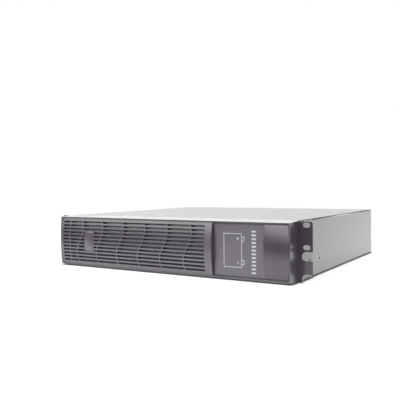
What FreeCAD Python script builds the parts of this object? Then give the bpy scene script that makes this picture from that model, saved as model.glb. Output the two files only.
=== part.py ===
"""External battery pack for a rack power supply, two rack units high.

The frame has X to the right, Y to the back and Z up, in millimetres.  The origin is
the middle of the footprint, on the surface that the pack stands on.
"""

import FreeCAD
import Part
import Sketcher
import math
import os
import re

# Driving dimensions of the pack, in millimetres unless the name says count.
SIZES = {
    # Folded steel chassis
    "chassis_width": 438.0,
    "chassis_height": 88.0,
    "body_depth": 400.0,
    "sheet_gauge": 1.2,
    "bend_radius": 2.0,
    "top_flange": 14.0,
    "corner_relief": 24.0,
    "panel_flange": 10.0,
    "panel_gap": 0.3,
    "cover_gauge": 1.2,
    "cover_setback": 0.6,
    "cover_gap": 0.4,
    "cover_lip": 11.0,
    "rail_hole_radius": 2.0,
    "rail_hole_back": 87.0,
    "rail_hole_height": 24.6,
    # Rack ears, on the hole pattern of a two unit panel
    "ear_gauge": 2.0,
    "ear_lead": 4.0,
    "ear_leg": 54.0,
    "ear_reach": 22.3,
    "ear_rise": 1.5,
    "ear_top_gap": 1.0,
    "ear_corner": 3.0,
    "ear_bend": 1.5,
    "rack_hole_edge": 8.75,
    "rack_hole_top": 5.85,
    "rack_hole_pitch": 31.75,
    "rack_slot_length": 10.5,
    "rack_slot_width": 7.0,
    "rack_notch_width": 13.4,
    "rack_notch_depth": 15.9,
    "rack_notch_drop": 12.7,
    "ear_screw_back": 24.0,
    "ear_screw_step": 38.0,
    "ear_screw_head": 4.2,
    "ear_screw_shank": 2.0,
    "ear_screw_length": 5.0,
    "screw_clearance": 0.2,
    # Moulded front bezel
    "bezel_depth": 30.0,
    "bezel_draft": 1.9,
    "bezel_bow": 2.2,
    "bezel_wall": 2.5,
    "rim_flat": 0.8,
    "rim_end_flat": 2.2,
    "bevel_slope": 0.77,
    "panel_recess": 2.5,
    "panel_shy": 0.3,
    "slot_depth": 7.6,
    "grille_margin": 5.8,
    "slot_count": 12,
    "slot_margin": 4.4,
    "slot_height": 3.2,
    "end_rib_offset": 15.9,
    "wave_rib_offset": 39.3,
    "wave_rib_margin": 31.55,
    "wave_rib_count": 6,
    "wave_reach": 7.7,
    "wave_length": 88.0,
    "wave_point_count": 12,
    "rib_width": 1.6,
    "rib_shy": 0.3,
    "badge_width": 20.1,
    "badge_height": 33.6,
    "badge_gauge": 2.0,
    "badge_bow": 0.8,
    "badge_lift": 1.2,
    "badge_sink": 0.4,
    "badge_offset": 50.4,
    "badge_border": 1.4,
    "fit_gap": 0.2,
    "strip_width": 12.2,
    "well_width": 85.5,
    "insert_gauge": 2.2,
    "insert_sink": 6.2,
    "finger_bow": 3.0,
    "trim_width": 40.4,
    "trim_gauge": 2.2,
    "hook_width": 12.0,
    "hook_gauge": 2.0,
    "hook_reach": 5.0,
    "hook_barb": 1.2,
    "hook_inset": 60.0,
    "hook_rise": 4.2,
    "hook_root": 6.0,
    # Sealed battery blocks, lying on their sides in two rows that fill the chassis
    "block_thickness": 65.0,
    "block_lid": 8.0,
    "block_lid_step": 1.0,
    "tab_length": 7.0,
    "tab_width": 6.4,
    "tab_gauge": 0.8,
    "tab_inset": 12.0,
    "wire_channel": 20.0,
    "wiring_bay": 83.0,
    "side_foam": 6.0,
    "middle_foam": 7.6,
    "row_foam": 3.0,
    "foam_height": 50.0,
    "foam_lift": 8.0,
    "front_room": 12.0,
    "strap_gauge": 1.5,
    "strap_width": 28.0,
    "stop_gauge": 1.5,
    "stop_height": 24.0,
    "stop_foot": 14.0,
    # Wiring bay and rear connectors
    "lead_radius": 3.0,
    "lead_bend": 10.0,
    "fuse_base_length": 84.0,
    "fuse_base_width": 24.0,
    "fuse_base_height": 8.0,
    "fuse_post_length": 12.0,
    "fuse_post_rise": 34.0,
    "fuse_radius": 9.0,
    "fuse_offset": 38.0,
    "fuse_back": 26.0,
    "cross_back": 18.0,
    "socket_width": 40.0,
    "socket_height": 30.0,
    "socket_body": 34.0,
    "socket_reach": 8.0,
    "socket_rim": 4.0,
    "socket_offset": 40.0,
    "socket_pitch": 62.0,
    "socket_centre": 40.0,
    "cavity_width": 13.0,
    "cavity_height": 20.0,
    "cavity_depth": 24.0,
    "cavity_wall": 4.0,
    "blade_gauge": 2.0,
    "blade_length": 20.0,
    "stud_radius": 2.5,
    "stud_length": 14.0,
    "stud_tail": 5.0,
    "nut_radius": 4.6,
    "nut_height": 4.0,
    "stud_inset": 29.0,
    "stud_height": 24.0,
    "cover_screw_head": 3.0,
    "cover_screw_rise": 1.8,
    "cover_screw_shank": 1.5,
    "cover_screw_length": 5.0,
    "cover_screw_inset": 30.0,
    "cover_screw_count": 4,
    "vent_count": 14,
    "vent_pitch": 8.0,
    "vent_width": 3.5,
    "vent_height": 36.0,
    "vent_inset": 49.0,
    "vent_centre": 42.0,
}

SIDES = (("left", -1), ("right", 1))
SAME_PLACE = 1e-4
PLANE_TURN = {
    "x": FreeCAD.Rotation(FreeCAD.Vector(0, 1, 0), 90),
    "y": FreeCAD.Rotation(FreeCAD.Vector(1, 0, 0), -90),
    "z": FreeCAD.Rotation(),
}

doc = FreeCAD.newDocument("battery_pack")
sheet = doc.addObject("Spreadsheet::Sheet", "Sizes")
for row, (alias, size) in enumerate(SIZES.items(), start=1):
    sheet.set(f"A{row}", alias)
    sheet.set(f"B{row}", str(size))
    sheet.setAlias(f"B{row}", alias)
doc.recompute()
nodes = []

# Places worked out from the driving dimensions
HALF = "(chassis_width / 2)"
MID = "(chassis_height / 2)"
WALL_TOP = "(chassis_height - cover_gauge)"
FRONT = "((bezel_bow - bezel_depth - body_depth - socket_reach) / 2)"
BODY = f"({FRONT} + bezel_depth)"
REAR = f"({BODY} + body_depth)"
PANEL_HALF = f"({HALF} - bend_radius - panel_gap)"
RIM_HALF = f"({MID} - bezel_draft - rim_flat)"
RIM_END = f"({HALF} - rim_end_flat)"
PANEL_BOW = "(panel_recess + bezel_bow - panel_shy)"
PANEL_EDGE = f"({RIM_HALF} - bevel_slope * panel_recess)"
PANEL_BACK = "(insert_sink + insert_gauge + bezel_wall)"
RIB_BACK = f"({PANEL_BACK} - bezel_wall / 4)"
BARREL = f"({PANEL_BOW} / 2 + {PANEL_EDGE} * {PANEL_EDGE} / (2 * {PANEL_BOW}))"
TRIM_LEFT = f"({HALF} - trim_width)"
WELL_LEFT = f"({TRIM_LEFT} - well_width)"
GRILLE_LEFT = f"(grille_margin - {HALF})"
GRILLE_RIGHT = f"({WELL_LEFT} - strip_width)"
GRILLE_LENGTH = f"({GRILLE_RIGHT} - {GRILLE_LEFT})"
SLOT_PITCH = f"((2 * {PANEL_EDGE} - 2 * slot_margin - slot_height) / (slot_count - 1))"
RIB_PITCH = f"(({GRILLE_LENGTH} - wave_rib_offset - wave_rib_margin) / (wave_rib_count - 1))"
BADGE_LEFT = f"({GRILLE_LEFT} + badge_offset)"
BADGE_FACE = f"({FRONT} + badge_sink + panel_shy - bezel_bow)"
BADGE_LOW = f"({MID} + badge_lift - badge_height / 2)"
INSERT_FACE = f"({FRONT} + insert_sink)"
EAR_TIP = f"({HALF} + ear_reach)"
EAR_FRONT = f"({BODY} - ear_lead)"
EAR_HEIGHT = "(chassis_height - ear_rise - ear_top_gap)"
RACK_HOLE_HIGH = "(chassis_height - rack_hole_top)"
RACK_HOLE_LOW = f"({RACK_HOLE_HIGH} - rack_hole_pitch)"
RACK_NOTCH = f"({RACK_HOLE_LOW} - rack_notch_drop)"
BLOCK_LENGTH = "((body_depth - front_room - row_foam - wiring_bay) / 2)"
BLOCK_HEIGHT = f"(({HALF} - sheet_gauge - side_foam - middle_foam / 2 - wire_channel) / 2)"
BLOCK_TOP = "(sheet_gauge + block_thickness)"
TAB_LEVEL = "(sheet_gauge + block_thickness / 2)"
ROW_ONE = f"({BODY} + front_room)"
ROW_TWO = f"({ROW_ONE} + {BLOCK_LENGTH} + row_foam)"
BLOCKS_BACK = f"({ROW_TWO} + {BLOCK_LENGTH})"
PAIR = f"(2 * {BLOCK_HEIGHT} + wire_channel)"
REAR_FACE = f"({REAR} - cover_gauge)"
REAR_INNER = f"({REAR_FACE} - sheet_gauge)"
STUD_ACROSS = f"({HALF} - stud_inset)"
VENT_LEFT = f"(vent_inset - {HALF})"
SOCKET_FRONT = f"({REAR} + socket_reach - socket_body)"
FUSE_LEFT = "(-fuse_offset - fuse_base_length / 2)"
FUSE_FRONT = f"({BLOCKS_BACK} + fuse_back)"
EAR_SCREW_LEVELS = [f"(ear_rise + {EAR_HEIGHT} / 2 + {side} * ear_screw_step / 2)"
                    for _, side in SIDES]
EAR_SCREW_STEPS = [f"(ear_screw_back + {step} * ear_screw_step / 2)" for step in range(2)]
HOOK_LEVELS = ("hook_rise", "chassis_height - hook_rise - hook_gauge - hook_barb")
COVER_SCREW_SPAN = f"({PANEL_HALF} - cover_screw_inset)"
COVER_SCREWS = [f"({index} / (cover_screw_count - 1) * 2 - 1) * {COVER_SCREW_SPAN}"
                for index in range(SIZES["cover_screw_count"])]
SOCKETS = [f"(socket_offset + {index} * socket_pitch)" for index in range(2)]


def sized(expression):
    """Point each size named in an expression at its cell of the sheet."""
    return re.sub(r"[a-z_]+(?![a-z_(])", lambda word: f"Sizes.{word.group()}", str(expression))


def value(expression):
    """Work out an expression of the sheet's sizes as a number."""
    return float(sheet.evalExpression(sized(expression)))


def place(piece, corner):
    """Tie the place of a piece to three expressions."""
    for axis, expression in zip("xyz", corner):
        piece.setExpression(f"Placement.Base.{axis}", sized(expression))
    return piece


def keep(piece, label):
    """Name a finished sub-part and list it for the output."""
    piece.Label = label
    nodes.append(piece)
    return piece


def box(name, size, corner):
    """Make a block from its three sizes and its lowest corner."""
    piece = doc.addObject("Part::Box", name)
    for field, expression in zip(("Length", "Width", "Height"), size):
        piece.setExpression(field, sized(expression))
    return place(piece, corner)


def rod(name, radius, length, start, axis):
    """Make a round rod that runs from its start along a positive axis."""
    piece = doc.addObject("Part::Cylinder", name)
    piece.Placement.Rotation = PLANE_TURN[axis]
    piece.setExpression("Radius", sized(radius))
    piece.setExpression("Height", sized(length))
    return place(piece, start)


def cut(name, base, tools):
    """Cut one or more tools out of a base."""
    tool = tools[0] if len(tools) == 1 else fuse(f"{name}_tools", tools)
    piece = doc.addObject("Part::Cut", name)
    piece.Base = base
    piece.Tool = tool
    return piece


def fuse(name, parts):
    """Join pieces that are moulded or formed as one."""
    piece = doc.addObject("Part::MultiFuse", name)
    piece.Shapes = parts
    piece.Refine = True
    return piece


def group(name, parts):
    """Hold several like solids together as one sub-part."""
    piece = doc.addObject("Part::Compound", name)
    piece.Links = parts
    return piece


def new_body(name, corner):
    """Start a body with its place tied to the sheet."""
    return place(doc.addObject("PartDesign::Body", name), corner)


def sketch_on(body, role, offset="0"):
    """Add a sketch on one of a body's origin planes, set off along its normal."""
    plane = next(item for item in body.Origin.OriginFeatures if item.Role == role)
    sketch = body.newObject("Sketcher::SketchObject", "Profile")
    sketch.AttachmentSupport = [(plane, "")]
    sketch.MapMode = "FlatFace"
    sketch.setExpression("AttachmentOffset.Base.z", sized(offset))
    return sketch


def pin(sketch, geometry, end, corner):
    """Tie one point of a sketch to a pair of expressions."""
    for kind, expression in zip(("DistanceX", "DistanceY"), corner):
        rule = Sketcher.Constraint(kind, -1, 1, geometry, end, value(expression))
        index = sketch.addConstraint(rule)
        sketch.setExpression(f"Constraints[{index}]", sized(expression))


def set_radius(sketch, geometry, radius):
    """Tie the radius of a circle or an arc to an expression."""
    index = sketch.addConstraint(Sketcher.Constraint("Radius", geometry, value(radius)))
    sketch.setExpression(f"Constraints[{index}]", sized(radius))


def bow_radius(chord, rise):
    """Return the radius of an arc from its chord and its rise."""
    return f"({rise} / 2 + {chord} * {chord} / (8 * {rise}))"


def outline(sketch, corners, bows=None):
    """Close a profile through its corners.

    bows gives, for the side after a corner, the chord and the rise of an arc, and
    whether it swells to the right of the way the outline runs (1) or to the left (-1).
    """
    bows = bows or {}
    spots = [FreeCAD.Vector(value(across), value(up), 0) for across, up in corners]
    following = spots[1:] + spots[:1]
    ends = []
    for index, (start, end) in enumerate(zip(spots, following)):
        if index in bows:
            _, rise, turn = bows[index]
            way = (end - start).normalize()
            side = FreeCAD.Vector(way.y, -way.x, 0) * value(rise) * turn
            edge = sketch.addGeometry(Part.Arc(start, (start + end) * 0.5 + side, end))
            first = 1 if sketch.getPoint(edge, 1).isEqual(start, SAME_PLACE) else 2
            ends.append((edge, first, 3 - first))
        else:
            ends.append((sketch.addGeometry(Part.LineSegment(start, end)), 1, 2))
    for (edge, _, last), (after, first, _) in zip(ends, ends[1:] + ends[:1]):
        sketch.addConstraint(Sketcher.Constraint("Coincident", edge, last, after, first))
    for (edge, first, _), corner in zip(ends, corners):
        pin(sketch, edge, first, corner)
    for index, (chord, rise, _) in bows.items():
        set_radius(sketch, ends[index][0], bow_radius(chord, rise))


def rectangle(sketch, low, high):
    """Draw a rectangle from its lowest and highest corners."""
    outline(sketch, [low, (high[0], low[1]), high, (low[0], high[1])])


def circle(sketch, centre, radius):
    """Draw a circle."""
    middle = FreeCAD.Vector(value(centre[0]), value(centre[1]), 0)
    edge = sketch.addGeometry(Part.Circle(middle, FreeCAD.Vector(0, 0, 1), value(radius)))
    pin(sketch, edge, 3, centre)
    set_radius(sketch, edge, radius)


def slot(sketch, near, far, level, radius):
    """Draw a slot with round ends between two centres on one level."""
    reach, height = value(radius), value(level)
    up = FreeCAD.Vector(0, 0, 1)
    arcs = []
    for centre, start in ((near, math.pi / 2), (far, -math.pi / 2)):
        middle = FreeCAD.Vector(value(centre), height, 0)
        arc = Part.ArcOfCircle(Part.Circle(middle, up, reach), start, start + math.pi)
        arcs.append(sketch.addGeometry(arc))
    left, right = arcs
    low, high = height - reach, height + reach
    ends = [FreeCAD.Vector(value(near), low, 0), FreeCAD.Vector(value(far), low, 0)]
    bottom = sketch.addGeometry(Part.LineSegment(*ends))
    ends = [FreeCAD.Vector(value(far), high, 0), FreeCAD.Vector(value(near), high, 0)]
    top = sketch.addGeometry(Part.LineSegment(*ends))
    for edge, end, after, start in ((left, 2, bottom, 1), (bottom, 2, right, 1),
                                    (right, 2, top, 1), (top, 2, left, 1)):
        sketch.addConstraint(Sketcher.Constraint("Tangent", edge, end, after, start))
    pin(sketch, left, 3, (near, level))
    pin(sketch, right, 3, (far, level))
    set_radius(sketch, left, radius)


def pad(body, sketch, length, reverse=False, even=False):
    """Raise a sketch of a body by a length."""
    feature = body.newObject("PartDesign::Pad", "Pad")
    feature.Profile = sketch
    feature.SideType = "Symmetric" if even else "One side"
    feature.Reversed = reverse
    feature.setExpression("Length", sized(length))
    return feature


def pocket(body, sketch, length, reverse=False, even=False):
    """Cut a sketch into a body by a length, and check that it met material."""
    doc.recompute()
    before = body.Shape.Volume
    feature = body.newObject("PartDesign::Pocket", "Pocket")
    feature.Profile = sketch
    feature.SideType = "Symmetric" if even else "One side"
    feature.Reversed = reverse
    feature.setExpression("Length", sized(length))
    doc.recompute()
    if not body.Shape.Volume < before:
        raise RuntimeError(f"a cut in {body.Label} removes nothing")
    return feature


def repeat(body, feature, axis_role, length, count):
    """Repeat a cut of a body in a row, and check that each copy met material."""
    before = body.Shape.Volume
    copies = body.newObject("PartDesign::LinearPattern", "Row")
    copies.Originals = [feature]
    axis = next(item for item in body.Origin.OriginFeatures if item.Role == axis_role)
    copies.Direction = (axis, [""])
    copies.setExpression("Length", sized(length))
    copies.setExpression("Occurrences", sized(count))
    body.Tip = copies
    doc.recompute()
    if not body.Shape.Volume < before:
        raise RuntimeError(f"a row of cuts in {body.Label} removes nothing")
    return copies


def edges_where(shape, axis, test):
    """Name the straight edges of a shape along an axis whose ends both pass a test."""
    names = []
    others = [other for other in "xyz" if other != axis]
    for index, edge in enumerate(shape.Edges, start=1):
        spots = [vertex.Point for vertex in edge.Vertexes]
        start, end = spots[0], spots[-1]
        straight = all(near(getattr(start, other), getattr(end, other)) for other in others)
        if straight and all(test(spot) for spot in spots):
            names.append(f"Edge{index}")
    return names


def round_edges(body, axis, test, radius):
    """Round the edges of a body along an axis whose ends pass a test."""
    doc.recompute()
    feature = body.newObject("PartDesign::Fillet", "Bend")
    base = feature.BaseFeature
    feature.Base = (base, edges_where(base.Shape, axis, test))
    feature.setExpression("Radius", sized(radius))
    return feature


def near(first, second):
    """Tell whether two lengths agree."""
    return abs(first - second) < SAME_PLACE


def make_tray():
    """Fold the floor, the sides and their top flanges from one sheet."""
    body = new_body("Tray", ("0", BODY, "0"))
    inner, lip = f"{HALF} - sheet_gauge", f"{HALF} - top_flange"
    under = f"{WALL_TOP} - sheet_gauge"
    right = [(HALF, "0"), (HALF, WALL_TOP), (lip, WALL_TOP), (lip, under), (inner, under),
             (inner, "sheet_gauge")]
    left = [(f"-({across})", up) for across, up in reversed(right)]
    profile = sketch_on(body, "XZ_Plane")
    outline(profile, right + left)
    pad(body, profile, "body_depth", reverse=True)
    half, gauge = value(HALF), value("sheet_gauge")
    bends = (gauge, value(WALL_TOP) - gauge)

    def inside(spot):
        """Tell whether a spot is in the hollow of a bend."""
        return near(abs(spot.x), half - gauge) and any(near(spot.z, bend) for bend in bends)

    round_edges(body, "y", lambda spot: near(abs(spot.x), half), "bend_radius")
    round_edges(body, "y", inside, "bend_radius - sheet_gauge")
    relief = sketch_on(body, "XY_Plane", MID)
    for _, side in SIDES:
        ends = (f"{side} * ({lip})", f"{side} * ({inner})")
        low, high = ends if side > 0 else ends[::-1]
        rectangle(relief, (low, "body_depth - corner_relief"), (high, "body_depth + panel_gap"))
    pocket(body, relief, "chassis_height", reverse=True)
    holes = sketch_on(body, "YZ_Plane")
    circle(holes, ("rail_hole_back", "rail_hole_height"), "rail_hole_radius")
    for step in EAR_SCREW_STEPS:
        for level in EAR_SCREW_LEVELS:
            circle(holes, (f"{step} - ear_lead", level), "ear_screw_shank + screw_clearance")
    pocket(body, holes, "2 * chassis_width", even=True)
    return keep(body, "chassis_tray")


def make_cover():
    """Make the flat lid with its lip folded down over the rear panel."""
    body = new_body("Cover", ("0", BODY, WALL_TOP))
    half = f"({HALF} - cover_setback)"
    sheet_top = sketch_on(body, "XY_Plane")
    rectangle(sheet_top, (f"-{half}", "cover_gap"), (half, "body_depth"))
    pad(body, sheet_top, "cover_gauge")
    lip = sketch_on(body, "XY_Plane")
    rectangle(lip, (f"-{PANEL_HALF}", "body_depth - cover_gauge"), (PANEL_HALF, "body_depth"))
    pad(body, lip, "cover_lip", reverse=True)
    depth, gauge = value("body_depth"), value("cover_gauge")
    round_edges(body, "x", lambda spot: near(spot.y, depth) and near(spot.z, gauge), "cover_gauge")
    holes = sketch_on(body, "XZ_Plane", "-body_depth")
    for across in COVER_SCREWS:
        circle(holes, (across, "-cover_lip / 2"), "cover_screw_shank + screw_clearance")
    pocket(body, holes, "2 * cover_gauge", even=True)
    return keep(body, "top_cover")


def end_panel(name, corner, forward):
    """Fold an end panel: an upright sheet with a flange along its top and its foot."""
    body = new_body(name, corner)
    sign = "" if forward else "-"
    height = f"({WALL_TOP} - 2 * sheet_gauge)"
    profile = sketch_on(body, "YZ_Plane")
    steps = [("0", "0"), ("panel_flange", "0"), ("panel_flange", "sheet_gauge"),
             ("sheet_gauge", "sheet_gauge"), ("sheet_gauge", f"{height} - sheet_gauge"),
             ("panel_flange", f"{height} - sheet_gauge"), ("panel_flange", height), ("0", height)]
    outline(profile, [(f"{sign}{across}", up) for across, up in steps])
    pad(body, profile, f"2 * {PANEL_HALF}", even=True)
    return body


def make_front_panel():
    """Make the steel front that closes the chassis behind the bezel."""
    body = end_panel("FrontPanel", ("0", BODY, "sheet_gauge"), True)
    windows = sketch_on(body, "XZ_Plane")
    for _, side in SIDES:
        for low in HOOK_LEVELS:
            middle = f"{side} * ({HALF} - hook_inset)"
            start = (f"{middle} - hook_width / 2 - fit_gap", f"{low} - sheet_gauge - fit_gap")
            end = (f"{middle} + hook_width / 2 + fit_gap",
                   f"{low} - sheet_gauge + hook_gauge + hook_barb + fit_gap")
            rectangle(windows, start, end)
    pocket(body, windows, "4 * sheet_gauge", even=True)
    return keep(body, "front_panel")


def make_rear_panel():
    """Make the rear panel with its vents and the holes of its connectors."""
    body = end_panel("RearPanel", ("0", REAR_FACE, "sheet_gauge"), False)
    holes = sketch_on(body, "XZ_Plane")
    level = "socket_centre - sheet_gauge"
    reach, rise = "(socket_width / 2 + fit_gap)", "(socket_height / 2 + fit_gap)"
    for middle in SOCKETS:
        rectangle(holes, (f"{middle} - {reach}", f"{level} - {rise}"),
                  (f"{middle} + {reach}", f"{level} + {rise}"))
    circle(holes, (STUD_ACROSS, "stud_height - sheet_gauge"), "stud_radius + screw_clearance")
    for across in COVER_SCREWS:
        level = f"{WALL_TOP} - sheet_gauge - cover_lip / 2"
        circle(holes, (across, level), "cover_screw_shank + screw_clearance")
    pocket(body, holes, "4 * sheet_gauge", even=True)
    vent = sketch_on(body, "XZ_Plane")
    rectangle(vent, (VENT_LEFT, "vent_centre - sheet_gauge - vent_height / 2"),
              (f"{VENT_LEFT} + vent_width", "vent_centre - sheet_gauge + vent_height / 2"))
    first = pocket(body, vent, "4 * sheet_gauge", even=True)
    repeat(body, first, "X_Axis", "vent_pitch * (vent_count - 1)", "vent_count")
    return keep(body, "rear_panel")


def make_ear(side_name, side):
    """Fold one rack ear: a leg along the chassis side and a slotted flange."""
    body = new_body(f"Ear_{side_name}", ("0", EAR_FRONT, "ear_rise"))
    outer = f"{HALF} + ear_gauge"
    fold = [(HALF, "0"), (EAR_TIP, "0"), (EAR_TIP, "ear_gauge"), (outer, "ear_gauge"),
            (outer, "ear_leg"), (HALF, "ear_leg")]
    profile = sketch_on(body, "XY_Plane")
    outline(profile, [(f"{side} * ({across})", back) for across, back in fold])
    pad(body, profile, EAR_HEIGHT)
    tip, height = value(EAR_TIP), value(EAR_HEIGHT)
    bend, gauge = value(outer), value("ear_gauge")
    round_edges(body, "y", lambda spot: near(abs(spot.x), tip) and near(spot.z, height), "ear_corner")
    round_edges(body, "z", lambda spot: near(abs(spot.x), bend) and near(spot.y, gauge), "ear_bend")
    cuts = sketch_on(body, "XZ_Plane")
    centre, half_slot = f"{EAR_TIP} - rack_hole_edge", "(rack_slot_length - rack_slot_width) / 2"
    for level in (RACK_HOLE_LOW, RACK_HOLE_HIGH):
        ends = [f"{side} * ({centre} - {half_slot})", f"{side} * ({centre} + {half_slot})"]
        slot(cuts, *ends[::side], f"{level} - ear_rise", "rack_slot_width / 2")
    for level in (RACK_NOTCH, f"{RACK_NOTCH} - rack_hole_pitch"):
        ends = [f"{side} * ({EAR_TIP} - rack_notch_depth + rack_notch_width / 2)",
                f"{side} * ({EAR_TIP} + rack_notch_width)"]
        slot(cuts, *ends[::side], f"{level} - ear_rise", "rack_notch_width / 2")
    pocket(body, cuts, "4 * ear_gauge", even=True)
    holes = [ear_screw(f"EarHole_{side_name}_{index}", side, back, level, "screw_clearance")
             for index, (back, level) in enumerate(ear_screw_spots())]
    return keep(cut(f"EarDrilled_{side_name}", body, holes), f"{side_name}_rack_ear")


def ear_screw_spots():
    """List the places of one ear's screws, along the leg and up it."""
    return [(f"({EAR_FRONT} + {step})", level) for step in EAR_SCREW_STEPS
            for level in EAR_SCREW_LEVELS]


def ear_screw(name, side, back, level, room):
    """Make one countersunk screw, or its hole when room is given."""
    head = doc.addObject("Part::Cone", f"{name}_head")
    head.Placement.Rotation = FreeCAD.Rotation(FreeCAD.Vector(0, 1, 0), -90 * side)
    head.setExpression("Radius1", sized(f"ear_screw_head + {room}"))
    head.setExpression("Radius2", sized(f"ear_screw_shank + {room}"))
    head.setExpression("Height", sized("ear_gauge"))
    place(head, (f"{side} * ({HALF} + ear_gauge)", back, level))
    start = f"{HALF} + ear_gauge - ear_screw_length" if side > 0 else f"-({HALF} + ear_gauge)"
    shank = rod(f"{name}_shank", f"ear_screw_shank + {room}", "ear_screw_length",
                (start, back, level), "x")
    return fuse(name, [head, shank])


def make_ear_screws():
    """Make the countersunk screws that hold both ears."""
    screws = [ear_screw(f"EarScrew_{side_name}_{index}", side, back, level, "0")
              for side_name, side in SIDES
              for index, (back, level) in enumerate(ear_screw_spots())]
    return keep(group("EarScrews", screws), "ear_screws")


def panel_profile(back, edge, rise, start="panel_recess"):
    """List the corners and the bow of a barrel fronted strip of the bezel."""
    low, high = f"{MID} - ({RIM_HALF} - fit_gap)", f"{MID} + ({RIM_HALF} - fit_gap)"
    corners = [(start, f"{MID} + {edge}"), (start, f"{MID} - {edge}"), (start, low),
               (back, low), (back, high), (start, high)]
    return corners, {0: (f"(2 * {edge})", rise, 1)}


def make_bezel():
    """Mould the front bezel: bowed rim, barrel panel, grille, wells and hooks."""
    body = new_body("Bezel", ("0", FRONT, "0"))
    shell = sketch_on(body, "YZ_Plane")
    high = "chassis_height - bezel_draft"
    outline(shell, [("0", high), ("0", "bezel_draft"), ("bezel_depth", "0"),
                    ("bezel_depth", "chassis_height")],
            {0: ("(chassis_height - 2 * bezel_draft)", "bezel_bow", 1)})
    pad(body, shell, "chassis_width", even=True)
    hollow = sketch_on(body, "YZ_Plane")
    top = "chassis_height - bezel_wall"
    outline(hollow, [("panel_recess + bezel_wall", "bezel_wall + bezel_draft"),
                     ("bezel_depth", "bezel_wall"), ("bezel_depth", top),
                     ("panel_recess + bezel_wall", f"{top} - bezel_draft")])
    pocket(body, hollow, "chassis_width - 2 * bezel_wall", even=True)
    bevel_rim(body)
    raise_panel(body)
    cut_grille(body)
    add_hooks(body)
    joined = fuse("BezelJoined", [body, make_ribs()])
    size = ("badge_width + 2 * fit_gap", "bezel_depth / 2", "badge_height + 2 * fit_gap")
    seat = box("BadgeSeat", size,
               (f"{BADGE_LEFT} - fit_gap", f"{BADGE_FACE} + badge_gauge - bezel_depth / 2",
                f"{BADGE_LOW} - fit_gap"))
    return keep(cut("BezelSeated", joined, [seat]), "front_bezel")


def bevel_rim(body):
    """Open the front of the bezel with a rim whose four bevels meet in mitres."""
    wedge = body.newObject("PartDesign::SubtractiveWedge", "RimBevel")
    for end, level in (("", "-bezel_bow - bezel_wall"), ("2", f"2 * {PANEL_BACK}")):
        across = f"({RIM_END} - bevel_slope * ({level}))"
        up = f"({RIM_HALF} - bevel_slope * ({level}))"
        wedge.setExpression(f"X{end}min", sized(f"-{across}"))
        wedge.setExpression(f"X{end}max", sized(across))
        wedge.setExpression(f"Z{end}min", sized(f"{MID} - {up}"))
        wedge.setExpression(f"Z{end}max", sized(f"{MID} + {up}"))
        wedge.setExpression("Ymax" if end else "Ymin", sized(level))
    doc.recompute()


def raise_panel(body):
    """Fill the rim with the barrel panel, set back where the end trim lies on it."""
    over = "bezel_wall / 4"
    corners, bows = panel_profile(PANEL_BACK, PANEL_EDGE, PANEL_BOW)
    left = sketch_on(body, "YZ_Plane", f"{over} - {HALF}")
    outline(left, corners, bows)
    pad(body, left, f"{TRIM_LEFT} + {HALF} - {over}")
    seat = "panel_recess + trim_gauge + fit_gap"
    edge = f"({RIM_HALF} - bevel_slope * ({seat}))"
    corners, bows = panel_profile(PANEL_BACK, edge, PANEL_BOW, seat)
    right = sketch_on(body, "YZ_Plane", TRIM_LEFT)
    outline(right, corners, bows)
    pad(body, right, f"{HALF} - {over} - {TRIM_LEFT}")


def slot_corners(index):
    """List the corners of one slot's section, which points at the axis of the barrel."""
    rise = f"(({index} - (slot_count - 1) / 2) * {SLOT_PITCH} / {BARREL})"
    lean = f"sqrt(1 - {rise} * {rise})"
    corners = []
    for reach, side in ((f"({BARREL} + bezel_wall)", 1), (f"({BARREL} + bezel_wall)", -1),
                        (f"({BARREL} - slot_depth)", -1), (f"({BARREL} - slot_depth)", 1)):
        back = f"panel_recess - {PANEL_BOW} + {BARREL} - {lean} * {reach}"
        up = f"{MID} + {rise} * {reach}"
        corners.append((f"{back} + {side} * {rise} * slot_height / 2",
                        f"{up} + {side} * {lean} * slot_height / 2"))
    return corners


def cut_grille(body):
    """Cut the insert's well and the rows of blind slots, and raise the badge's boss."""
    low, high = f"({MID} - {PANEL_EDGE})", f"({MID} + {PANEL_EDGE})"
    well = sketch_on(body, "XZ_Plane", "-insert_sink - insert_gauge")
    rectangle(well, (WELL_LEFT, low), (TRIM_LEFT, high))
    pocket(body, well, "bezel_depth", reverse=True)
    rows = sketch_on(body, "YZ_Plane", GRILLE_LEFT)
    for index in range(SIZES["slot_count"]):
        outline(rows, slot_corners(index))
    pocket(body, rows, GRILLE_LENGTH, reverse=True)
    boss = sketch_on(body, "XZ_Plane", f"-{RIB_BACK}")
    rectangle(boss, (f"{BADGE_LEFT} - badge_border", f"{BADGE_LOW} - badge_border"),
              (f"{BADGE_LEFT} + badge_width + badge_border",
               f"{BADGE_LOW} + badge_height + badge_border"))
    pad(body, boss, f"{RIB_BACK} + bezel_bow - panel_shy - badge_sink - badge_gauge")


def add_hooks(body):
    """Add the four snap hooks that hold the bezel on the front panel."""
    grip = "bezel_depth + sheet_gauge + fit_gap"
    tip = f"{grip} + hook_reach"
    root, top, wall = "bezel_depth - hook_root", "hook_rise + hook_gauge", "bezel_wall / 2"
    steps = [(root, wall), ("bezel_depth", wall), ("bezel_depth", "hook_rise"), (tip, "hook_rise"),
             (tip, top), (grip, f"{top} + hook_barb"), (grip, top), (root, top)]
    for _, side in SIDES:
        for turned in (False, True):
            start = f"{side} * ({HALF} - hook_inset) - hook_width / 2"
            arm = sketch_on(body, "YZ_Plane", start)
            outline(arm, [(back, f"chassis_height - ({up})" if turned else up) for back, up in steps])
            pad(body, arm, "hook_width")


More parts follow.
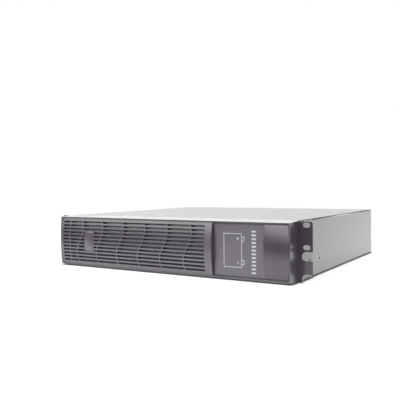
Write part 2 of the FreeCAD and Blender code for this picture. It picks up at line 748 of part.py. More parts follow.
def make_ribs():
    """Make the waved ribs that cross the slots, and the straight one at the end."""
    middle, half_height = value(MID), value(PANEL_EDGE)
    front, back = value(f"{FRONT} - bezel_bow"), value(f"{FRONT} + {RIB_BACK}")
    half_rib, reach = value("rib_width / 2"), value("wave_reach")
    turns, steps = 2 * math.pi / value("wave_length"), SIZES["wave_point_count"]
    levels = [middle + half_height * (2 * index / steps - 1) for index in range(steps + 1)]
    swings = [reach * math.sin(turns * (level - middle)) for level in levels]
    bands = []
    for index in range(SIZES["wave_rib_count"]):
        centre = value(f"{GRILLE_LEFT} + wave_rib_offset + {index} * {RIB_PITCH}")
        waves = []
        for side in (-half_rib, half_rib):
            spots = [FreeCAD.Vector(centre + side + swing, front, level)
                     for swing, level in zip(swings, levels)]
            curve = Part.BSplineCurve()
            curve.interpolate(spots)
            waves.append(curve.toShape())
        low = Part.makeLine(waves[0].Vertexes[0].Point, waves[1].Vertexes[0].Point)
        high = Part.makeLine(waves[0].Vertexes[-1].Point, waves[1].Vertexes[-1].Point)
        face = Part.Face(Part.Wire(Part.__sortEdges__([waves[0], high, waves[1], low])))
        bands.append(face.extrude(FreeCAD.Vector(0, back - front, 0)))
    straight = value(f"{GRILLE_LEFT} + end_rib_offset - rib_width / 2")
    spot = FreeCAD.Vector(straight, front, middle - half_height)
    bands.append(Part.makeBox(2 * half_rib, back - front, 2 * half_height, spot))
    stock = doc.addObject("Part::Feature", "RibStock")
    stock.Shape = Part.makeCompound(bands)
    envelope = new_body("RibEnvelope", ("0", FRONT, "0"))
    corners, bows = panel_profile(RIB_BACK, PANEL_EDGE, PANEL_BOW, "panel_recess + rib_shy")
    profile = sketch_on(envelope, "YZ_Plane", GRILLE_LEFT)
    outline(profile, corners, bows)
    pad(envelope, profile, GRILLE_LENGTH)
    ribs = doc.addObject("Part::MultiCommon", "Ribs")
    ribs.Shapes = [stock, envelope]
    return ribs


def make_front_pieces():
    """Make the blank badge, the flat insert and the glossy end trim of the bezel."""
    badge = new_body("Badge", ("0", BADGE_FACE, "0"))
    plaque = sketch_on(badge, "YZ_Plane", BADGE_LEFT)
    high = f"{BADGE_LOW} + badge_height"
    outline(plaque, [("badge_bow", high), ("badge_bow", BADGE_LOW), ("badge_gauge", BADGE_LOW),
                     ("badge_gauge", high)], {0: ("badge_height", "badge_bow", 1)})
    pad(badge, plaque, "badge_width")
    keep(badge, "badge_blank")
    body = new_body("Insert", ("0", INSERT_FACE, "0"))
    plate = sketch_on(body, "XZ_Plane")
    left, right = f"{WELL_LEFT} + fit_gap", f"{TRIM_LEFT} - fit_gap"
    up = f"({PANEL_EDGE} - fit_gap)"
    outline(plate, [(left, f"{MID} + {up}"), (left, f"{MID} - {up}"), (right, f"{MID} - {up}"),
                    (right, f"{MID} + {up}")], {0: (f"(2 * {up})", "finger_bow", -1)})
    pad(body, plate, "insert_gauge", reverse=True)
    keep(body, "square_insert")
    trim = new_body("Trim", ("0", FRONT, "0"))
    edge = f"({PANEL_EDGE} - fit_gap)"
    deep = f"({edge} - bevel_slope * trim_gauge)"
    skin = sketch_on(trim, "YZ_Plane", TRIM_LEFT)
    back = "panel_recess + trim_gauge"
    outline(skin, [("panel_recess", f"{MID} + {edge}"), ("panel_recess", f"{MID} - {edge}"),
                   (back, f"{MID} - {deep}"), (back, f"{MID} + {deep}")],
            {0: (f"(2 * {edge})", PANEL_BOW, 1), 2: (f"(2 * {deep})", PANEL_BOW, -1)})
    pad(trim, skin, f"{HALF} - {TRIM_LEFT}")
    slope = sketch_on(trim, "XY_Plane")
    near_end, far_end = "-bezel_bow - bezel_wall", PANEL_BACK
    line = f"({RIM_END} - fit_gap)"
    outline(slope, [(f"{line} - bevel_slope * ({near_end})", near_end),
                    (f"{HALF} + bezel_wall", near_end), (f"{HALF} + bezel_wall", far_end),
                    (f"{line} - bevel_slope * ({far_end})", far_end)])
    pocket(trim, slope, "3 * chassis_height", even=True)
    keep(trim, "end_trim")


def block_columns():
    """List each column of blocks: its left side and the way its terminals face."""
    lefts = (f"(-middle_foam / 2 - {PAIR})", f"(-middle_foam / 2 - {BLOCK_HEIGHT})",
             "(middle_foam / 2)", f"(middle_foam / 2 + {PAIR} - {BLOCK_HEIGHT})")
    return list(zip(lefts, (1, -1, 1, -1)))


def make_blocks():
    """Make the eight sealed blocks and the tabs on them."""
    tabs = []
    for row_name, back in (("front", ROW_ONE), ("rear", ROW_TWO)):
        for column, (left, facing) in enumerate(block_columns(), start=1):
            name = f"Block_{row_name}_{column}"
            lid_left = f"{left} + {BLOCK_HEIGHT} - block_lid" if facing > 0 else left
            case_left = left if facing > 0 else f"{left} + block_lid"
            size = (f"{BLOCK_HEIGHT} - block_lid", BLOCK_LENGTH, "block_thickness")
            case = box(f"{name}_case", size, (case_left, back, "sheet_gauge"))
            size = ("block_lid", f"{BLOCK_LENGTH} - 2 * block_lid_step",
                    "block_thickness - 2 * block_lid_step")
            lid = box(f"{name}_lid", size,
                      (lid_left, f"{back} + block_lid_step", "sheet_gauge + block_lid_step"))
            keep(fuse(name, [case, lid]), f"battery_{row_name}_{column}")
            root = f"{left} + {BLOCK_HEIGHT}" if facing > 0 else f"{left} - tab_length"
            for index, along in enumerate(("tab_inset", f"{BLOCK_LENGTH} - tab_inset")):
                corner = (root, f"{back} + {along} - tab_width / 2", f"{TAB_LEVEL} - tab_gauge / 2")
                size = ("tab_length", "tab_width", "tab_gauge")
                tabs.append(box(f"{name}_tab_{index}", size, corner))
    keep(group("Tabs", tabs), "battery_tabs")


def make_links():
    """Join the tabs of each pair of columns in series."""
    links = []
    size = "2 * lead_radius"
    low = f"{TAB_LEVEL} - lead_radius"
    between = "2 * tab_inset + row_foam - tab_width"
    columns = block_columns()
    for pair in range(2):
        start = f"{columns[2 * pair][0]} + {BLOCK_HEIGHT}"
        links.append(box(f"Link_across_{pair}", ("wire_channel - 2 * tab_length", "tab_width", size),
                         (f"{start} + tab_length", f"{ROW_ONE} + tab_inset - tab_width / 2", low)))
        for side, left in enumerate((start, f"{start} + wire_channel - tab_length")):
            back = f"{ROW_ONE} + {BLOCK_LENGTH} - tab_inset + tab_width / 2"
            links.append(box(f"Link_along_{pair}_{side}", (size, between, size),
                             (f"{left} + tab_length / 2 - lead_radius", back, low)))
    keep(group("Links", links), "battery_links")


def make_packing():
    """Make the foam round the blocks, the straps over them and the stop behind."""
    inner = f"({HALF} - sheet_gauge)"
    low = "sheet_gauge + foam_lift"
    leg_end = f"({EAR_FRONT} + ear_leg)"
    for side_name, side in SIDES:
        left = f"{inner} - side_foam" if side > 0 else f"-{inner}"
        size = ("side_foam", f"{BLOCKS_BACK} - {leg_end}", "foam_height")
        keep(box(f"Foam_{side_name}", size, (left, leg_end, low)), f"side_foam_{side_name}")
    size = ("middle_foam", f"{BLOCKS_BACK} - {ROW_ONE}", "foam_height")
    keep(box("Foam_middle", size, ("-middle_foam / 2", ROW_ONE, low)), "middle_foam")
    rows, fronts = [], []
    for column, (left, facing) in enumerate(block_columns(), start=1):
        case_left = left if facing > 0 else f"{left} + block_lid"
        size = (f"{BLOCK_HEIGHT} - block_lid", "row_foam", "foam_height")
        corner = (case_left, f"{ROW_ONE} + {BLOCK_LENGTH}", low)
        rows.append(box(f"RowFoam_{column}", size, corner))
        size = (BLOCK_HEIGHT, "front_room - sheet_gauge", "foam_height")
        fronts.append(box(f"FrontFoam_{column}", size, (left, f"{BODY} + sheet_gauge", low)))
    keep(group("RowFoam", rows), "row_foam")
    keep(group("FrontFoam", fronts), "front_foam")
    for name, back in (("front", ROW_ONE), ("rear", ROW_TWO)):
        middle = f"{back} + {BLOCK_LENGTH} / 2"
        body = new_body(f"Strap_{name}", ("0", f"{middle} + strap_width / 2", BLOCK_TOP))
        rise = f"({WALL_TOP} - bend_radius - {BLOCK_TOP})"
        bent = f"({inner} - strap_gauge)"
        shape = [(f"-{inner}", "0"), (inner, "0"), (inner, rise), (bent, rise), (bent, "strap_gauge"),
                 (f"-{bent}", "strap_gauge"), (f"-{bent}", rise), (f"-{inner}", rise)]
        profile = sketch_on(body, "XZ_Plane")
        outline(profile, shape)
        pad(body, profile, "strap_width")
        keep(body, f"battery_strap_{name}")
    stop = new_body("Stop", ("0", BLOCKS_BACK, "sheet_gauge"))
    profile = sketch_on(stop, "YZ_Plane")
    outline(profile, [("0", "0"), ("stop_foot", "0"), ("stop_foot", "stop_gauge"),
                      ("stop_gauge", "stop_gauge"), ("stop_gauge", "stop_height"), ("0", "stop_height")])
    pad(stop, profile, f"2 * {PANEL_HALF}", even=True)
    keep(stop, "battery_stop")


def make_fuse():
    """Make the fuse block on the floor of the wiring bay and its fuse."""
    base = box("FuseFoot", ("fuse_base_length", "fuse_base_width", "fuse_base_height"),
               (FUSE_LEFT, FUSE_FRONT, "sheet_gauge"))
    size = ("fuse_post_length", "fuse_base_width", "fuse_base_height + fuse_post_rise")
    starts = (FUSE_LEFT, f"{FUSE_LEFT} + fuse_base_length - fuse_post_length")
    posts = [box(f"FusePost_{index}", size, (start, FUSE_FRONT, "sheet_gauge"))
             for index, start in enumerate(starts)]
    keep(fuse("FuseBase", [base] + posts), "fuse_base")
    spot = (f"{FUSE_LEFT} + fuse_post_length", f"{FUSE_FRONT} + fuse_base_width / 2", TAB_LEVEL)
    keep(rod("Fuse", "fuse_radius", "fuse_base_length - 2 * fuse_post_length", spot, "x"), "fuse_link")


def make_sockets():
    """Make the two battery connectors of the rear panel with their contacts."""
    blades = []
    low = "socket_centre - socket_height / 2"
    foot, level = f"{REAR} + socket_reach - cavity_depth", "socket_centre - cavity_height / 2"
    for index, middle in enumerate(SOCKETS):
        shell = box(f"SocketShell_{index}", ("socket_width", "socket_body", "socket_height"),
                    (f"{middle} - socket_width / 2", SOCKET_FRONT, low))
        size = ("socket_width + 2 * socket_rim", "socket_reach + cover_gauge - socket_rim / 2",
                "socket_height + 2 * socket_rim")
        rim = box(f"SocketRim_{index}", size,
                  (f"{middle} - socket_width / 2 - socket_rim", REAR_FACE, f"{low} - socket_rim"))
        hollows = []
        for side_name, side in SIDES:
            start = f"{middle} + {side} * (cavity_wall + cavity_width) / 2 - cavity_width / 2"
            hollows.append(box(f"Cavity_{index}_{side_name}",
                               ("cavity_width", "2 * cavity_depth", "cavity_height"),
                               (start, foot, level)))
            blades.append(box(f"Blade_{index}_{side_name}",
                              ("cavity_width", "blade_length", "blade_gauge"),
                              (start, foot, level)))
        keep(cut(f"Socket_{index}", fuse(f"SocketSolid_{index}", [shell, rim]), hollows),
             f"dc_socket_{index + 1}")
    keep(group("Blades", blades), "socket_contacts")


def make_stud():
    """Make the earth stud of the rear panel and the nut on it."""
    spot = (STUD_ACROSS, f"{REAR_INNER} - stud_tail", "stud_height")
    keep(rod("Stud", "stud_radius", "stud_length", spot, "y"), "earth_stud")
    seat = (STUD_ACROSS, REAR_FACE, "stud_height")
    nut = doc.addObject("Part::Prism", "NutStock")
    nut.Polygon = 6
    nut.Placement.Rotation = PLANE_TURN["y"]
    nut.setExpression("Circumradius", sized("nut_radius"))
    nut.setExpression("Height", sized("nut_height"))
    place(nut, seat)
    bore = rod("NutBore", "stud_radius + screw_clearance", "nut_height", seat, "y")
    keep(cut("Nut", nut, [bore]), "earth_nut")


def make_cover_screws():
    """Make the screws that hold the lid's lip to the rear panel."""
    screws = []
    level = f"({WALL_TOP} - cover_lip / 2)"
    for index, across in enumerate(COVER_SCREWS):
        head = rod(f"CoverHead_{index}", "cover_screw_head", "cover_screw_rise",
                   (across, REAR, level), "y")
        shank = rod(f"CoverShank_{index}", "cover_screw_shank", "cover_screw_length",
                    (across, f"{REAR} - cover_screw_length", level), "y")
        screws.append(fuse(f"CoverScrew_{index}", [head, shank]))
    keep(group("CoverScrews", screws), "cover_screws")


def lead(label, spots):
    """Run one insulated lead through its corners, with each bend an arc."""
    points = [FreeCAD.Vector(*(value(part) for part in spot)) for spot in spots]
    bend, edges, start = value("lead_bend"), [], points[0]
    for before, corner, after in zip(points, points[1:], points[2:]):
        came, goes = (corner - before).normalize(), (after - corner).normalize()
        reach = bend * math.tan(came.getAngle(goes) / 2)
        first, last = corner - came * reach, corner + goes * reach
        inward = (goes - came).normalize()
        depth = bend / math.cos(came.getAngle(goes) / 2) - bend
        edges.append(Part.makeLine(start, first))
        edges.append(Part.Arc(first, corner + inward * depth, last).toShape())
        start = last
    edges.append(Part.makeLine(start, points[-1]))
    path = Part.Wire(edges)
    way = (points[1] - points[0]).normalize()
    ring = Part.Wire(Part.makeCircle(value("lead_radius"), points[0], way))
    piece = doc.addObject("Part::Feature", "Lead")
    piece.Shape = path.makePipeShell([ring], True, True)
    return keep(piece, label)


def make_leads():
    """Run the leads of the wiring bay from the rear tabs to the fuse and the sockets."""
    columns = block_columns()
    left, right = [f"({columns[index][0]} + {BLOCK_HEIGHT})" for index in (0, 2)]
    near_tab, far_tab = "tab_length / 2", "wire_channel - tab_length / 2"
    tab_back = f"({BLOCKS_BACK} - tab_inset + tab_width / 2)"
    fuse_mid = f"({FUSE_FRONT} + fuse_base_width / 2)"
    cavity = "(cavity_wall + cavity_width) / 2"
    minus, plus = f"({SOCKETS[0]} + {cavity})", f"({SOCKETS[0]} - {cavity})"
    cross = f"({BLOCKS_BACK} + cross_back)"
    routes = {
        "positive_lead": [(f"{left} + {near_tab}", tab_back), (f"{left} + {near_tab}", fuse_mid),
                          (FUSE_LEFT, fuse_mid)],
        "fuse_lead": [(f"{FUSE_LEFT} + fuse_base_length", fuse_mid), (plus, fuse_mid),
                      (plus, SOCKET_FRONT)],
        "pair_lead": [(f"{left} + {far_tab}", tab_back), (f"{left} + {far_tab}", cross),
                      (f"{right} + {near_tab}", cross), (f"{right} + {near_tab}", tab_back)],
        "negative_lead": [(f"{right} + {far_tab}", tab_back), (f"{right} + {far_tab}", fuse_mid),
                          (minus, fuse_mid), (minus, SOCKET_FRONT)],
    }
    for label, route in routes.items():
        lead(label, [(across, back, TAB_LEVEL) for across, back in route])
    start = f"{SOCKETS[0]} + socket_width / 2"
    level = f"{SOCKET_FRONT} + 2 * lead_radius"
    jumpers = [rod(f"Jumper_{index}", "lead_radius", "socket_pitch - socket_width",
                   (start, level, f"socket_centre + {side} * 3 * lead_radius"), "x")
               for index, side in enumerate((-1, 1))]
    keep(group("Jumpers", jumpers), "socket_jumpers")


def report(pieces):
    """Check each finished sub-part, write it and print its size."""
    broken = [item.Name for item in doc.Objects
              if "Invalid" in item.State or "Error" in item.State]
    for piece in pieces:
        if piece.Shape.isNull() or not piece.Shape.isValid() or not piece.Shape.Solids:
            broken.append(piece.Label)
    if broken:
        raise RuntimeError("failed objects: " + ", ".join(broken))
    os.makedirs("parts", exist_ok=True)
    for piece in pieces:
        piece.Shape.exportStep(os.path.join("parts", f"{piece.Label}.step"))
        room = piece.Shape.BoundBox
        print(f"{piece.Label}: {len(piece.Shape.Solids)} solids, {piece.Shape.Volume:.0f} mm3, "
              f"{room.XLength:.1f} x {room.YLength:.1f} x {room.ZLength:.1f}")


def main():
    """Build the pack from its chassis outwards and write it."""
    make_tray()
    make_cover()
    make_front_panel()
    make_rear_panel()
    for side_name, side in SIDES:
        make_ear(side_name, side)
    make_ear_screws()
    make_bezel()
    make_front_pieces()
    make_blocks()
    make_links()
    make_packing()
    make_fuse()
    make_sockets()
    make_stud()
    make_cover_screws()
    make_leads()
    doc.recompute()
    report(nodes)


main()
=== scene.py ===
"""Looks of the external battery pack: finishes, printed plate, hardware and studio."""

import logging
import math
from dataclasses import dataclass, field
from enum import Enum

import bmesh
import bpy
from mathutils import Matrix, Vector


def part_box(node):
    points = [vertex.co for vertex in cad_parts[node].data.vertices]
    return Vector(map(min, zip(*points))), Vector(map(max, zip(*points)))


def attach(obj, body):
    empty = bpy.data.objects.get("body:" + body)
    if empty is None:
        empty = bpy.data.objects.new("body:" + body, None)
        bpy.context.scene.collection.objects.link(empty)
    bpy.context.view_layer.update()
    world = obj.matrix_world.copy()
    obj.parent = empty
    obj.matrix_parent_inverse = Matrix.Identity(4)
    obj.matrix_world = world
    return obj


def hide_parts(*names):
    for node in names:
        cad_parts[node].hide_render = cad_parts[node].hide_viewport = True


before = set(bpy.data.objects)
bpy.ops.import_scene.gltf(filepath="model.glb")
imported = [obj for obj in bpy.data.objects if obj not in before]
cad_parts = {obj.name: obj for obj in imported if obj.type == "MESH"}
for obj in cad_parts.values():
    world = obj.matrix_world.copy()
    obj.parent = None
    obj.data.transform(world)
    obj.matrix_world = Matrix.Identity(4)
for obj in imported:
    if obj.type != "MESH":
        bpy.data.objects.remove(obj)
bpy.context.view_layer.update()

LOG = logging.getLogger("battery_pack")
MM = 0.001
BODY = "root"
PHOTO_WIDTH = 400

# Curve of a screen, from steps of 0 to 255 to linear light
SCREEN_STEPS = 255
TOE_LIMIT = 0.04045
TOE_SLOPE = 12.92
CURVE_OFFSET = 0.055
CURVE_POWER = 2.4

Colour = tuple[int, int, int]
Linear = tuple[float, float, float, float]
Point = tuple[float, float, float]
Span = tuple[float, float]
Socket = bpy.types.NodeSocket

WHITE: Linear = (1.0, 1.0, 1.0, 1.0)


class Slot(str, Enum):
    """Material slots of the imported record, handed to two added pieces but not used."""

    FASTENER = "fastener_steel"
    SOCKET = "socket_shell"


class Effect(str, Enum):
    """Surface effects that several finishes share, each one shader node group."""

    GRAIN = "moulded_grain"
    PEEL = "powder_coat_peel"
    BRUSH = "brushed_lines"
    SMUDGE = "handling_smudge"
    WEAR = "edge_wear"
    DUST = "settled_dust"


def linear(colour: Colour) -> Linear:
    """Turn a colour in screen steps into a linear one.

    Args:
        colour: Red, green and blue as a screen shows them.

    Returns:
        Red, green, blue and alpha for a colour socket.
    """
    parts = []
    for step in colour:
        share = step / SCREEN_STEPS
        curve = ((share + CURVE_OFFSET) / (1 + CURVE_OFFSET)) ** CURVE_POWER
        parts.append(share / TOE_SLOPE if share <= TOE_LIMIT else curve)
    return (*parts, 1.0)


def scaled(colour: Linear, factor: float) -> Linear:
    """Return a linear colour made lighter or darker by a factor."""
    return (*(part * factor for part in colour[:3]), 1.0)


@dataclass
class Graph:
    """Short calls that add nodes to a shader tree and join them."""

    tree: bpy.types.NodeTree

    def add(self, kind: str, values: dict[str, object] | None = None, **settings: object) -> bpy.types.Node:
        """Add one node.

        Args:
            kind: Type of the node, without its ShaderNode prefix.
            values: What each named input holds or is joined to.
            settings: Attributes of the node.

        Returns:
            The new node.
        """
        node = self.tree.nodes.new(f"ShaderNode{kind}")
        for name, setting in settings.items():
            setattr(node, name, setting)
        for name, held in (values or {}).items():
            self.feed(node.inputs[name], held)
        return node

    def feed(self, socket: Socket, held: object) -> None:
        """Join a socket to another one, or set the value that it holds.

        Args:
            socket: Input socket of a node.
            held: Output socket that it is joined to, or a plain value.
        """
        if isinstance(held, Socket):
            self.tree.links.new(held, socket)
        else:
            socket.default_value = held

    def math(self, operation: str, *terms: object) -> Socket:
        """Add a sum, product or other math node.

        Args:
            operation: Name of the operation.
            terms: Numbers or sockets that it works on.

        Returns:
            The socket that holds the result.
        """
        node = self.add("Math", operation=operation)
        for socket, term in zip(node.inputs, terms):
            self.feed(socket, term)
        return node.outputs[0]

    def stretch(self, source: Socket, old: Span, new: Span = (0.0, 1.0)) -> Socket:
        """Map a range of values onto another, clamped at both ends.

        Args:
            source: Socket with the value.
            old: The two values that become the ends of the new range.
            new: Ends of the new range.

        Returns:
            The socket that holds the result.
        """
        ends = {"From Min": old[0], "From Max": old[1], "To Min": new[0], "To Max": new[1]}
        return self.add("MapRange", {"Value": source, **ends}).outputs["Result"]

    def blend(self, share: object, first: object, second: object) -> Socket:
        """Mix two colours.

        Args:
            share: How much of the second colour shows.
            first: Colour or socket at a share of 0.
            second: Colour or socket at a share of 1.

        Returns:
            The socket that holds the mixed colour.
        """
        node = self.add("Mix", data_type="RGBA")
        colours = [socket for socket in node.inputs if socket.type == "RGBA"]
        self.feed(node.inputs["Factor"], share)
        self.feed(colours[0], first)
        self.feed(colours[1], second)
        return next(socket for socket in node.outputs if socket.type == "RGBA")

    def noise(self, scale: object, detail: float, distortion: float = 0.0,
              squeeze: Point | None = None) -> Socket:
        """Add noise in the object's own coordinates.

        Args:
            scale: Spots per metre, as a number or a socket.
            detail: How many finer layers it has.
            distortion: How far the noise is warped.
            squeeze: Factors on the coordinates along each axis.

        Returns:
            The socket that holds the noise.
        """
        place = self.add("TexCoord").outputs["Object"]
        if squeeze:
            place = self.add("Mapping", {"Vector": place, "Scale": squeeze}).outputs["Vector"]
        values = {"Vector": place, "Scale": scale, "Detail": detail, "Distortion": distortion}
        return self.add("TexNoise", values).outputs["Fac"]


class EffectLibrary:
    """Builds each shared effect once and places it in materials.

    A scale in capitals is a factor on the effect's own scale, a weight is a share in a sum, and a range
    holds the two values that become 0 and 1.
    """

    INPUTS = {
        Effect.GRAIN: "Scale",
        Effect.PEEL: "Scale",
        Effect.BRUSH: "Scale",
        Effect.SMUDGE: "Scale",
        Effect.WEAR: "Radius",
        Effect.DUST: "Scale",
    }
    TONE_RANGE = (0.3, 0.7)
    PIT_WEIGHT = 0.45
    FLOW_SCALE = 0.03
    SPECKLE_SCALE = 4.0
    SPECKLE_WEIGHT = 0.5
    PAINT_CLOUD_SCALE = 0.02
    LINE_SQUEEZE = (1.0, 0.06, 1.0)
    LINE_WEIGHT = 0.6
    METAL_CLOUD_SCALE = 0.05
    METAL_CLOUD_WEIGHT = 0.4
    STREAK_SCALE = 3.0
    STREAK_SQUEEZE = (1.0, 0.35, 1.0)
    STREAK_WEIGHT = 0.35
    SMUDGE_RANGE = (0.45, 0.95)
    EDGE_SAMPLES = 6
    EDGE_RANGE = (0.99, 0.8)
    CHIPS_PER_METRE = 260.0
    CHIP_RANGE = (0.35, 0.7)
    UPWARD_RANGE = (0.3, 1.0)
    FILM_RANGE = (0.35, 0.75)
    SPECK_SCALE = 40.0
    SPECK_RANGE = (0.66, 0.74)

    def __init__(self) -> None:
        """Start with no effect built."""
        self.groups: dict[Effect, bpy.types.NodeTree] = {}

    def place(self, graph: Graph, effect: Effect, amount: float) -> bpy.types.Node:
        """Place an effect in a material.

        Args:
            graph: Nodes of the material.
            effect: Which effect.
            amount: Value of the effect's input.

        Returns:
            The group node, with the effect's named outputs.
        """
        if effect not in self.groups:
            self.groups[effect] = self.build(effect)
        node = graph.add("Group", node_tree=self.groups[effect])
        node.inputs[self.INPUTS[effect]].default_value = amount
        return node

    def build(self, effect: Effect) -> bpy.types.NodeTree:
        """Build the node group of an effect.

        Args:
            effect: Which effect.

        Returns:
            The new node group.
        """
        tree = bpy.data.node_groups.new(effect.value, "ShaderNodeTree")
        tree.interface.new_socket(self.INPUTS[effect], in_out="INPUT", socket_type="NodeSocketFloat")
        source = tree.nodes.new("NodeGroupInput")
        results = getattr(self, effect.value)(Graph(tree), source.outputs[0])
        for name, socket in results.items():
            kind = "NodeSocketVector" if socket.type == "VECTOR" else "NodeSocketFloat"
            tree.interface.new_socket(name, in_out="OUTPUT", socket_type=kind)
        sink = tree.nodes.new("NodeGroupOutput")
        for name, socket in results.items():
            tree.links.new(socket, sink.inputs[name])
        return tree

    def moulded_grain(self, graph: Graph, scale: Socket) -> dict[str, Socket]:
        """Make the fine spark eroded texture of a mould, with faint flow marks in its tone.

        Args:
            graph: Nodes of the group.
            scale: The group's input.

        Returns:
            The group's outputs by name.
        """
        fine = graph.noise(scale, detail=4.0)
        place = graph.add("TexCoord").outputs["Object"]
        pits = graph.add("TexVoronoi", {"Scale": scale, "Vector": place}, feature="SMOOTH_F1")
        height = graph.math("MULTIPLY_ADD", pits.outputs["Distance"], self.PIT_WEIGHT, fine)
        tone = graph.noise(graph.math("MULTIPLY", scale, self.FLOW_SCALE), detail=3.0, distortion=0.6)
        return {"Height": height, "Tone": graph.stretch(tone, self.TONE_RANGE)}

    def powder_coat_peel(self, graph: Graph, scale: Socket) -> dict[str, Socket]:
        """Make the soft dimples of baked powder paint, with a fine speckle in its tone.

        Args:
            graph: Nodes of the group.
            scale: The group's input.

        Returns:
            The group's outputs by name.
        """
        dimples = graph.noise(scale, detail=1.0)
        speckle = graph.noise(graph.math("MULTIPLY", scale, self.SPECKLE_SCALE), detail=2.0)
        cloud = graph.noise(graph.math("MULTIPLY", scale, self.PAINT_CLOUD_SCALE), detail=2.0)
        base = graph.math("MULTIPLY", cloud, 1 - self.SPECKLE_WEIGHT)
        tone = graph.math("MULTIPLY_ADD", speckle, self.SPECKLE_WEIGHT, base)
        return {"Height": dimples, "Tone": graph.stretch(tone, self.TONE_RANGE)}

    def brushed_lines(self, graph: Graph, scale: Socket) -> dict[str, Socket]:
        """Make the fine drawn lines of bare or plated metal.

        Args:
            graph: Nodes of the group.
            scale: The group's input.

        Returns:
            The group's outputs by name.
        """
        lines = graph.noise(scale, detail=4.0, squeeze=self.LINE_SQUEEZE)
        cloud = graph.noise(graph.math("MULTIPLY", scale, self.METAL_CLOUD_SCALE), detail=2.0)
        base = graph.math("MULTIPLY", lines, self.LINE_WEIGHT)
        return {"Height": lines, "Tone": graph.math("MULTIPLY_ADD", cloud, self.METAL_CLOUD_WEIGHT, base)}

    def handling_smudge(self, graph: Graph, scale: Socket) -> dict[str, Socket]:
        """Make the wide soft marks where a surface was wiped or held.

        Args:
            graph: Nodes of the group.
            scale: The group's input.

        Returns:
            The group's outputs by name.
        """
        wide = graph.noise(scale, detail=4.0, distortion=1.4)
        close = graph.math("MULTIPLY", scale, self.STREAK_SCALE)
        streak = graph.noise(close, detail=2.0, distortion=0.4, squeeze=self.STREAK_SQUEEZE)
        marks = graph.math("MULTIPLY_ADD", streak, self.STREAK_WEIGHT, wide)
        return {"Mask": graph.stretch(marks, self.SMUDGE_RANGE)}

    def edge_wear(self, graph: Graph, radius: Socket) -> dict[str, Socket]:
        """Make rounded normals at edges, and the broken lightening where they leave the flat ones.

        Args:
            graph: Nodes of the group.
            radius: The group's input.

        Returns:
            The group's outputs by name.
        """
        rounded = graph.add("Bevel", {"Radius": radius}, samples=self.EDGE_SAMPLES).outputs["Normal"]
        flat = graph.add("NewGeometry").outputs["Normal"]
        dot = graph.add("VectorMath", operation="DOT_PRODUCT")
        graph.feed(dot.inputs[0], rounded)
        graph.feed(dot.inputs[1], flat)
        edge = graph.stretch(dot.outputs["Value"], self.EDGE_RANGE)
        broken = graph.stretch(graph.noise(self.CHIPS_PER_METRE, detail=3.0), self.CHIP_RANGE)
        return {"Mask": graph.math("MULTIPLY", edge, broken), "Normal": rounded}

    def settled_dust(self, graph: Graph, scale: Socket) -> dict[str, Socket]:
        """Make thin dust on faces that look up, with specks.

        Args:
            graph: Nodes of the group.
            scale: The group's input.

        Returns:
            The group's outputs by name.
        """
        normal = graph.add("NewGeometry").outputs["Normal"]
        rise = graph.add("SeparateXYZ", {"Vector": normal}).outputs["Z"]
        upward = graph.stretch(rise, self.UPWARD_RANGE)
        film = graph.stretch(graph.noise(scale, detail=5.0, distortion=0.5), self.FILM_RANGE)
        fine = graph.noise(graph.math("MULTIPLY", scale, self.SPECK_SCALE), detail=1.0)
        specks = graph.stretch(fine, self.SPECK_RANGE)
        return {"Mask": graph.math("MULTIPLY", upward, graph.math("MAXIMUM", film, specks))}


@dataclass(frozen=True)
class Finish:
    """A surface finish: its colour, gloss and the effects that break it up.

    Scales are in spots per metre, depths and radii in millimetres.
    """

    name: str
    colour: Colour
    roughness: float
    metallic: float = 0.0
    ior: float = 1.5
    coat: float = 0.0
    coat_roughness: float = 0.14
    tint: Colour = (255, 255, 255)
    texture: Effect = Effect.GRAIN
    texture_scale: float = 1400.0
    texture_depth: float = 0.02
    tone_spread: float = 0.07
    smudge_scale: float = 9.0
    smudge_spread: float = 0.08
    wear_colour: Colour = (150, 148, 152)
    wear_share: float = 0.25
    wear_radius: float = 0.5
    dust_colour: Colour = (170, 167, 162)
    dust_scale: float = 18.0
    dust_share: float = 0.05

    def build(self, effects: EffectLibrary) -> bpy.types.Material:
        """Build the finish as a material.

        Args:
            effects: Library that places the shared effects.

        Returns:
            The new material.
        """
        material = bpy.data.materials.new(self.name)
        material.use_nodes = True
        material.node_tree.nodes.clear()
        graph = Graph(material.node_tree)
        texture = effects.place(graph, self.texture, self.texture_scale)
        wear = effects.place(graph, Effect.WEAR, self.wear_radius * MM).outputs
        dust = effects.place(graph, Effect.DUST, self.dust_scale).outputs["Mask"]
        smudge = effects.place(graph, Effect.SMUDGE, self.smudge_scale).outputs["Mask"]
        base = linear(self.colour)
        dark, light = (scaled(base, 1 + side * self.tone_spread) for side in (-1, 1))
        shade = graph.blend(texture.outputs["Tone"], dark, light)
        worn = graph.math("MULTIPLY", wear["Mask"], self.wear_share)
        shade = graph.blend(worn, shade, linear(self.wear_colour))
        dusty = graph.math("MULTIPLY", dust, self.dust_share)
        shade = graph.blend(dusty, shade, linear(self.dust_colour))
        half = self.smudge_spread / 2
        gloss = graph.stretch(smudge, (0.0, 1.0), (self.roughness - half, self.roughness + half))
        bump = graph.add("Bump", {
            "Strength": 1.0,
            "Distance": self.texture_depth * MM,
            "Height": texture.outputs["Height"],
            "Normal": wear["Normal"],
        })
        shader = graph.add("BsdfPrincipled", {
            "Base Color": shade,
            "Roughness": gloss,
            "Metallic": self.metallic,
            "IOR": self.ior,
            "Specular Tint": linear(self.tint),
            "Coat Weight": self.coat,
            "Coat Roughness": self.coat_roughness,
            "Normal": bump.outputs["Normal"],
        })
        output = graph.add("OutputMaterial")
        graph.feed(output.inputs["Surface"], shader.outputs["BSDF"])
        return material


